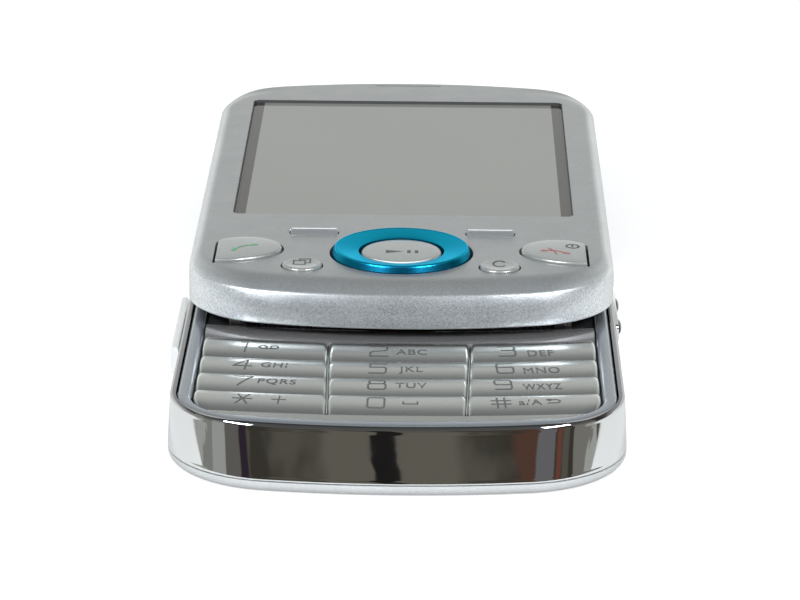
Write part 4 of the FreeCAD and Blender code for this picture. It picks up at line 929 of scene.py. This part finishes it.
def front_cover():
    """The slider's shell: its ends fall away gently to a tight edge and a steep, slightly curved face."""
    side_round, foot, foot_round, floor_inset, sharp = 1.7, 9.15, 0.15, 1.1, 30.0
    crown, edge_end, fall = 4.1, 1.05, 0.1324
    tight, steep, upright = 0.9, radians(66.0), radians(91)
    crown_steps, tight_steps, face_steps = 9, 8, 12
    edge_level = SLIDER_TOP - fall * (crown - edge_end) ** 2

    def at(side, end, level):
        share = (side + end) / 2 if end < 2 else min(side, end) + (end - side) * 0.25
        return phone_ring(SLIDER.half_width - side, SLIDER.half_length - end, SLIDER.corner - share,
                          SLIDER.bow - end, level, SLIDER_Y)

    def side_inset(level):
        drop = SLIDER_TOP - level
        if drop >= side_round:
            return 0.0
        cosine = 1 - drop / side_round
        return side_round * (1 - sqrt(1 - cosine * cosine))

    def level_there(y, level):
        """The far end keeps its full height: only the near end falls away."""
        share = min(1.0, max(0.0, (y - SLIDER_Y - 35.0) / 9.0))
        lift = fall * (crown - edge_end) ** 2 * share * share * (3 - 2 * share)
        if level > edge_level:
            return level + lift * (SLIDER_TOP - level) / (SLIDER_TOP - edge_level)
        return level + lift * max(0.0, level - 9.6) / (edge_level - 9.6)

    section = []
    for i in range(crown_steps + 1):
        end = crown + (edge_end - crown) * i / crown_steps
        section.append((end, SLIDER_TOP - fall * (crown - end) ** 2))
    start, top = atan(2 * fall * (crown - edge_end)), section[-1][1]
    for i in range(1, tight_steps + 1):
        a = start + (steep - start) * i / tight_steps
        section.append((edge_end - tight * (sin(a) - sin(start)), top - tight * (cos(start) - cos(a))))
    end, top = section[-1]
    face = (top - foot) / (cos(steep) - cos(upright))
    for i in range(1, face_steps + 1):
        a = steep + (upright - steep) * i / face_steps
        section.append((max(0.0, end - face * (sin(a) - sin(steep))), top - face * (cos(steep) - cos(a))))
    profile = [(2.4, 9.0, SLIDER_TOP)] + [(side_inset(level), end, level) for end, level in section]
    for a in quarter_turn(5):
        inset = foot_round * (1 - cos(a))
        profile.append((inset, inset, foot - foot_round * sin(a)))
    rings = [[(x, y, level_there(y, level)) for x, y, level in at(*row)] for row in profile]
    rings += [at(floor_inset, floor_inset, level) for level in (foot - foot_round, 12.4)]
    cover = made_piece("front_cover_shell", *skin(rings, capped=True), "silver_paint", "slider",
                       ("front_cover",), sharp)
    for node, *margins in (("call_key", 0.3), ("end_key", 0.3), ("soft_key_left", 0.2),
                           ("soft_key_right", 0.2), ("switch_key", 0.2), ("clear_key", 0.2),
                           ("nav_ring", 0.3, 1.5), ("display_window", 0.05)):
        cut_outline(cover, node, *margins)
    low, high = COVER_CUT
    cut_box(cover, (-4.5, SLIDER_Y + 45.2, low), (4.5, SLIDER_Y + 45.55, high))     # earpiece slot
    smoothed(cover.data, sharp)


def leaf_key(name):
    """A call or end key: a plump pad with a rounded edge."""
    outline, centre = outline_of(name)
    level, edge, crown = highest(name).z / MM, 0.32, 0.12

    def at(inset, height):
        return [(*(spot + (centre - spot).normalized() * inset), height) for spot in outline]

    rings = [at(0.0, 13.0), at(0.0, level - edge)]
    rings += [at(edge * (1 - cos(a)), level - edge * (1 - sin(a))) for a in quarter_turn(6)]
    for share in (0.25, 0.5, 0.75, 0.97):
        rings.append([(*spot.lerp(centre, 0.08 + 0.92 * share), level + crown * (1 - (1 - share) ** 2))
                      for spot in outline])
    return made_piece(f"{name}_cap", *skin(rings, capped=True), "key_silver_upper", name, (name,), 50.0)


def soft_key(name):
    """A soft key: a low bar that slopes to the hand from a thin bead along its far edge, with a painted
    highlight along the bead.
    """
    centre, top = middle(name) / MM, highest(name).z / MM
    half, depth, foot, bead, bead_y = 2.85, 0.85, 12.9, 0.23, 0.56
    section = [(-depth, foot), (-depth, top - 0.58), (-depth + 0.06, top - 0.50), (0.30, top - 0.20)]
    section += arc((bead_y, top - bead), bead, 170, 0, 12)
    section += [(depth, top - 0.35), (depth, foot)]
    rings = []
    for across, squeeze in ((-half, 0.10), (0.05 - half, 0.04), (0.15 - half, 0.0), (0.0, 0.0),
                            (half - 0.15, 0.0), (half - 0.05, 0.04), (half, 0.10)):
        rings.append([(centre.x + across, centre.y + y * (1 - squeeze), max(foot, z - squeeze))
                      for y, z in section])
    made_piece(f"{name}_cap", *skin(rings, capped=True), "key_bright", name, (name,))
    # Painted highlight: a light grey strip laid a hair over the near side of the bead, standing for the
    # glint along its crest.
    arch = arc((centre.y + bead_y, top - bead), bead + 0.015, 130, 84, 5)
    rings = [[(centre.x + across, y, z) for y, z in arch] for across in (0.12 - half, 0.0, half - 0.12)]
    made_piece(f"{name}_bead", *skin(rings, closed=False), "edge_silver", name, (), 60.0)


def keypad_strip():
    """The dark crescent above the keys, curving down to them."""
    far, near, half_width = 144.4, 149.1, 22.95
    profile = ((0.0, 6.7), (0.0, 7.62), (0.05, 7.78), (0.15, 7.83), (0.3, 7.82), (0.45, 7.76), (0.6, 7.64),
               (0.7, 7.52), (0.79, 7.37), (0.87, 7.20), (0.95, 6.98), (1.0, 6.75))
    places = steps_between(-half_width, half_width, 0.3, 40)
    rings = [[(x, arc_y(x, far + (near - far) * share), level) for x in places] for share, level in profile]
    made_piece("keypad_strip_face", *skin(rings, closed=False), "strip_grey", "lower_half",
               ("keypad_strip",))


def signs(name, cap, paint, body, *lines, centre=(0.0, 0.0)):
    """Strokes printed on a key: each line is a width and its points about a centre."""
    parts = [stroke([(centre[0] + x, centre[1] + y) for x, y in line], width) for width, *line in lines]
    mark(name, parts, cap, paint, body)


front_cover()
keypad_strip()
nav_ring()
play_key = centre_key()
mark("centre_key_marks", [([(-1.85, -3.25), (-1.85, -2.15), (0.3, -2.6)], [(0, 2, 1)])]
     + [stroke([(x, -2.35), (x, -3.0)], 0.42) for x in (0.91, 1.82)], play_key, "ink", "centre_key")
switch_cap, switch_place = round_key("switch_key", -1)
clear_cap, clear_place = round_key("clear_key", 1)
window_recess_painted_shade()
flex_cable()
soft_key("soft_key_left")
soft_key("soft_key_right")
call_cap, end_cap = leaf_key("call_key"), leaf_key("end_key")
signs("call_key_marks", call_cap, "green_ink", "call_key",
      (0.5, (-20.15, -3.1), (-19.9, -2.5)), (0.5, (-17.9, -1.0), (-17.5, -0.85)),
      (0.26, (-20.0, -2.8), (-19.4, -1.8), (-18.6, -1.2), (-17.7, -0.95)))
signs("end_key_marks", end_cap, "red_ink", "end_key",
      (0.5, (16.95, -2.1), (17.35, -2.1)), (0.5, (19.6, -3.0), (20.0, -3.1)),
      (0.26, (17.1, -2.0), (18.1, -2.0), (19.0, -2.4), (19.8, -3.0)),
      (0.2, (17.7, -1.1), (18.3, -2.2), (18.6, -3.4)))
circle = [(0.75 * cos(a), 0.75 * sin(a)) for a in full_turn(20)]
signs("power_mark", end_cap, "ink", "end_key", (0.22, *circle, circle[0]), (0.22, (0.0, 0.4), (0.0, -0.2)),
      centre=(20.6, -0.1))
signs("switch_key_marks", switch_cap, "ink", "switch_key",
      (0.2, (-1.0, -1.1), (0.35, -1.1), (0.35, 0.3), (-1.0, 0.3), (-1.0, -1.1)),
      (0.2, (-0.3, 0.3), (-0.3, 0.8), (0.95, 0.8), (0.95, -0.5), (0.35, -0.5)),
      centre=(switch_place[0], switch_place[1] + 0.9))
letter_c = [(0.75 * cos(a), sin(a)) for a in (radians(40 + 17.5 * i) for i in range(17))]
signs("clear_key_marks", clear_cap, "ink", "clear_key", (0.24, *letter_c),
      centre=(clear_place[0], clear_place[1] + 0.7))


# ---- light, floor and camera

# Upright panels of the room ahead: their bounds in degrees of azimuth, and their colours.
PANELS = (
    (-130.0, -80.0, (0.34, 0.345, 0.33)), (-80.0, -68.0, (0.20, 0.205, 0.19)),
    (-68.0, -52.0, (0.30, 0.31, 0.30)), (-52.0, -36.0, (0.11, 0.105, 0.098)),
    (-36.0, -28.0, (0.026, 0.018, 0.028)), (-8.0, 11.0, (0.115, 0.105, 0.088)),
    (19.0, 25.0, (0.080, 0.042, 0.030)), (25.0, 42.0, (0.125, 0.122, 0.130)),
    (44.0, 49.0, (0.130, 0.050, 0.036)), (62.0, 90.0, (0.17, 0.165, 0.15)))


def room_world():
    """White to the camera; a plain grey-white light on surfaces; a dim room ahead in mirrors."""
    world = bpy.data.worlds.new("room")
    bpy.context.scene.world = world
    world.use_nodes = True
    world.node_tree.nodes.clear()
    room = Wiring(world.node_tree)
    maths, times, mixed = room.maths, room.times, room.mixed

    def degrees(angle):
        return times(angle, 180 / pi)

    def step(value, low, high, from_value=0.0, to_value=1.0):
        return room.scaled(value, from_value, to_value, low, high, "SMOOTHSTEP")

    way = room.split(room.node("TexCoord").outputs["Generated"])
    turn = degrees(maths("ARCTAN2", way["X"], times(way["Y"], -1.0)))
    rise = degrees(maths("ARCSINE", way["Z"]))
    over = degrees(maths("ARCTAN2", way["Z"], way["Y"]))

    def noise(across, up, detail, height=rise):
        spot = {0: times(turn, across), 1: times(height, up)}
        place = room.node("CombineXYZ", spot).outputs[0]
        return room.noise_on(place, 1.0, detail, "2D")

    def between(low, high, soft=0.5):
        """1 where the leaning azimuth lies between two bounds, in degrees."""
        return times(step(leaning, low - soft, low + soft),
                     step(leaning, high - soft, high + soft, 1.0, 0.0))

    # a brown-grey wall with the panels, and a dark stand with its head in the middle
    leaning = maths("ADD", turn, times(rise, 0.12))
    leaning = maths("ADD", leaning, times(noise(0.02, 0.25, 2.0), 1.5))
    wall = mixed(step(noise(0.10, 0.05, 3.0), 0.40, 0.65), (0.040, 0.036, 0.029), (0.085, 0.078, 0.066))
    for low, high, shade in PANELS:
        wall = mixed(between(low, high, 1.0), wall, shade)
    head = times(between(-5.5, 0.0), times(step(rise, 20.4, 20.8), step(rise, 23.4, 23.8, 1.0, 0.0)))
    wall = mixed(maths("MAXIMUM", between(-1.2, 2.4, 0.2), head), wall, (0.012, 0.011, 0.011))
    wall = mixed(step(rise, 23.0, 32.0), wall, (0.15, 0.15, 0.155))
    # the wall's ragged outline against the pale backdrop
    ragged = maths("ADD", maths("ABSOLUTE", turn), times(noise(0.03, 0.07, 6.0, over), 40.0))
    ragged = maths("ADD", ragged, times(noise(0.05, 0.9, 4.0), 26.0))
    ragged = maths("ADD", ragged, times(over, 0.21))
    below_top = maths("MAXIMUM", step(rise, 38.0, 46.0, 1.0, 0.0), step(over, 112.0, 124.0))
    in_room = times(step(ragged, 147.5, 148.5, 1.0, 0.0), below_top)
    backdrop = mixed(step(over, 2.0, 22.0), (1.10, 1.13, 1.12), (0.50, 0.505, 0.50))
    backdrop = mixed(step(over, 28.0, 56.0), backdrop, (0.085, 0.087, 0.09))
    backdrop = mixed(step(over, 100.0, 130.0), backdrop, (0.33, 0.335, 0.32))
    path = room.node("LightPath").outputs
    light = mixed(path["Is Glossy Ray"], (0.50, 0.51, 0.51), mixed(in_room, backdrop, wall))
    plain = maths("MAXIMUM", path["Is Camera Ray"], path["Is Transmission Ray"])
    background = room.node("Background", {"Color": mixed(plain, light, (1.0, 1.0, 1.0))})
    room.node("OutputWorld", {"Surface": background.outputs[0]})


def lamp(name, place, target, size, power, in_mirrors=True):
    data = bpy.data.lights.new(name, "AREA")
    data.shape = "RECTANGLE"
    data.size, data.size_y = size
    data.energy = power
    data.color = (0.92, 0.96, 1.0)
    made = placed(name, data)
    made.location = place
    made.visible_glossy = in_mirrors
    made.rotation_euler = (Vector(target) - Vector(place)).to_track_quat("-Z", "Y").to_euler()


def floor():
    """A pale sweep that stays white to the camera and in mirrors, and keeps the phone's shadow."""
    reach, gap, glow, mirror_dimming = 3.0, 0.02 * MM, 0.62, -0.42
    mesh = bpy.data.meshes.new("floor")
    mesh.from_pydata([(-reach, -reach, 0), (reach, -reach, 0), (reach, reach, 0), (-reach, reach, 0)],
                     [], [(0, 1, 2, 3)])
    made = placed("floor", mesh)
    made.location.z = CAD_BOX[0][2] - gap
    paint = Paint("floor_white", (0.42, 0.42, 0.42), 0.9)
    path = paint.node("LightPath").outputs
    direct = paint.maths("MAXIMUM", path["Is Camera Ray"], path["Is Glossy Ray"])
    seen = paint.maths("MAXIMUM", direct, path["Is Transmission Ray"])
    paint.feed("Emission Color", (1.0, 1.0, 1.0))
    paint.feed("Emission Strength", paint.maths("MULTIPLY_ADD", path["Is Glossy Ray"], mirror_dimming,
                                                paint.times(seen, glow)))
    mesh.materials.append(paint.material)


def camera():
    """Where the photographer stood: in front and a little above, with a long lens."""
    place = Vector((4.72, -452.1, 152.3)) * MM
    yaw, pitch, roll = radians(0.617), radians(17.746), radians(0.405)
    data = bpy.data.cameras.new("camera")
    data.sensor_width = 36.0
    data.lens = 176.3
    data.clip_start = 0.01
    made = placed("camera", data)
    turn = Matrix.Rotation(yaw, 4, "Z") @ Matrix.Rotation(pi / 2 - pitch, 4, "X")
    made.matrix_world = Matrix.Translation(place) @ turn @ Matrix.Rotation(roll, 4, "Z")
    bpy.context.scene.camera = made


room_world()
floor()
camera()
lamp("left_lamp", (-0.445, -0.46, 0.48), (0, 0, 0), (0.36, 0.14), 5.2)
lamp("right_lamp", (0.445, -0.46, 0.48), (0, 0, 0), (0.36, 0.14), 4.8)
lamp("front_fill", (0.0, -0.66, 0.40), (0, 0, 0), (0.5, 0.2), 1.0, False)
bpy.context.scene.view_settings.view_transform = "Standard"
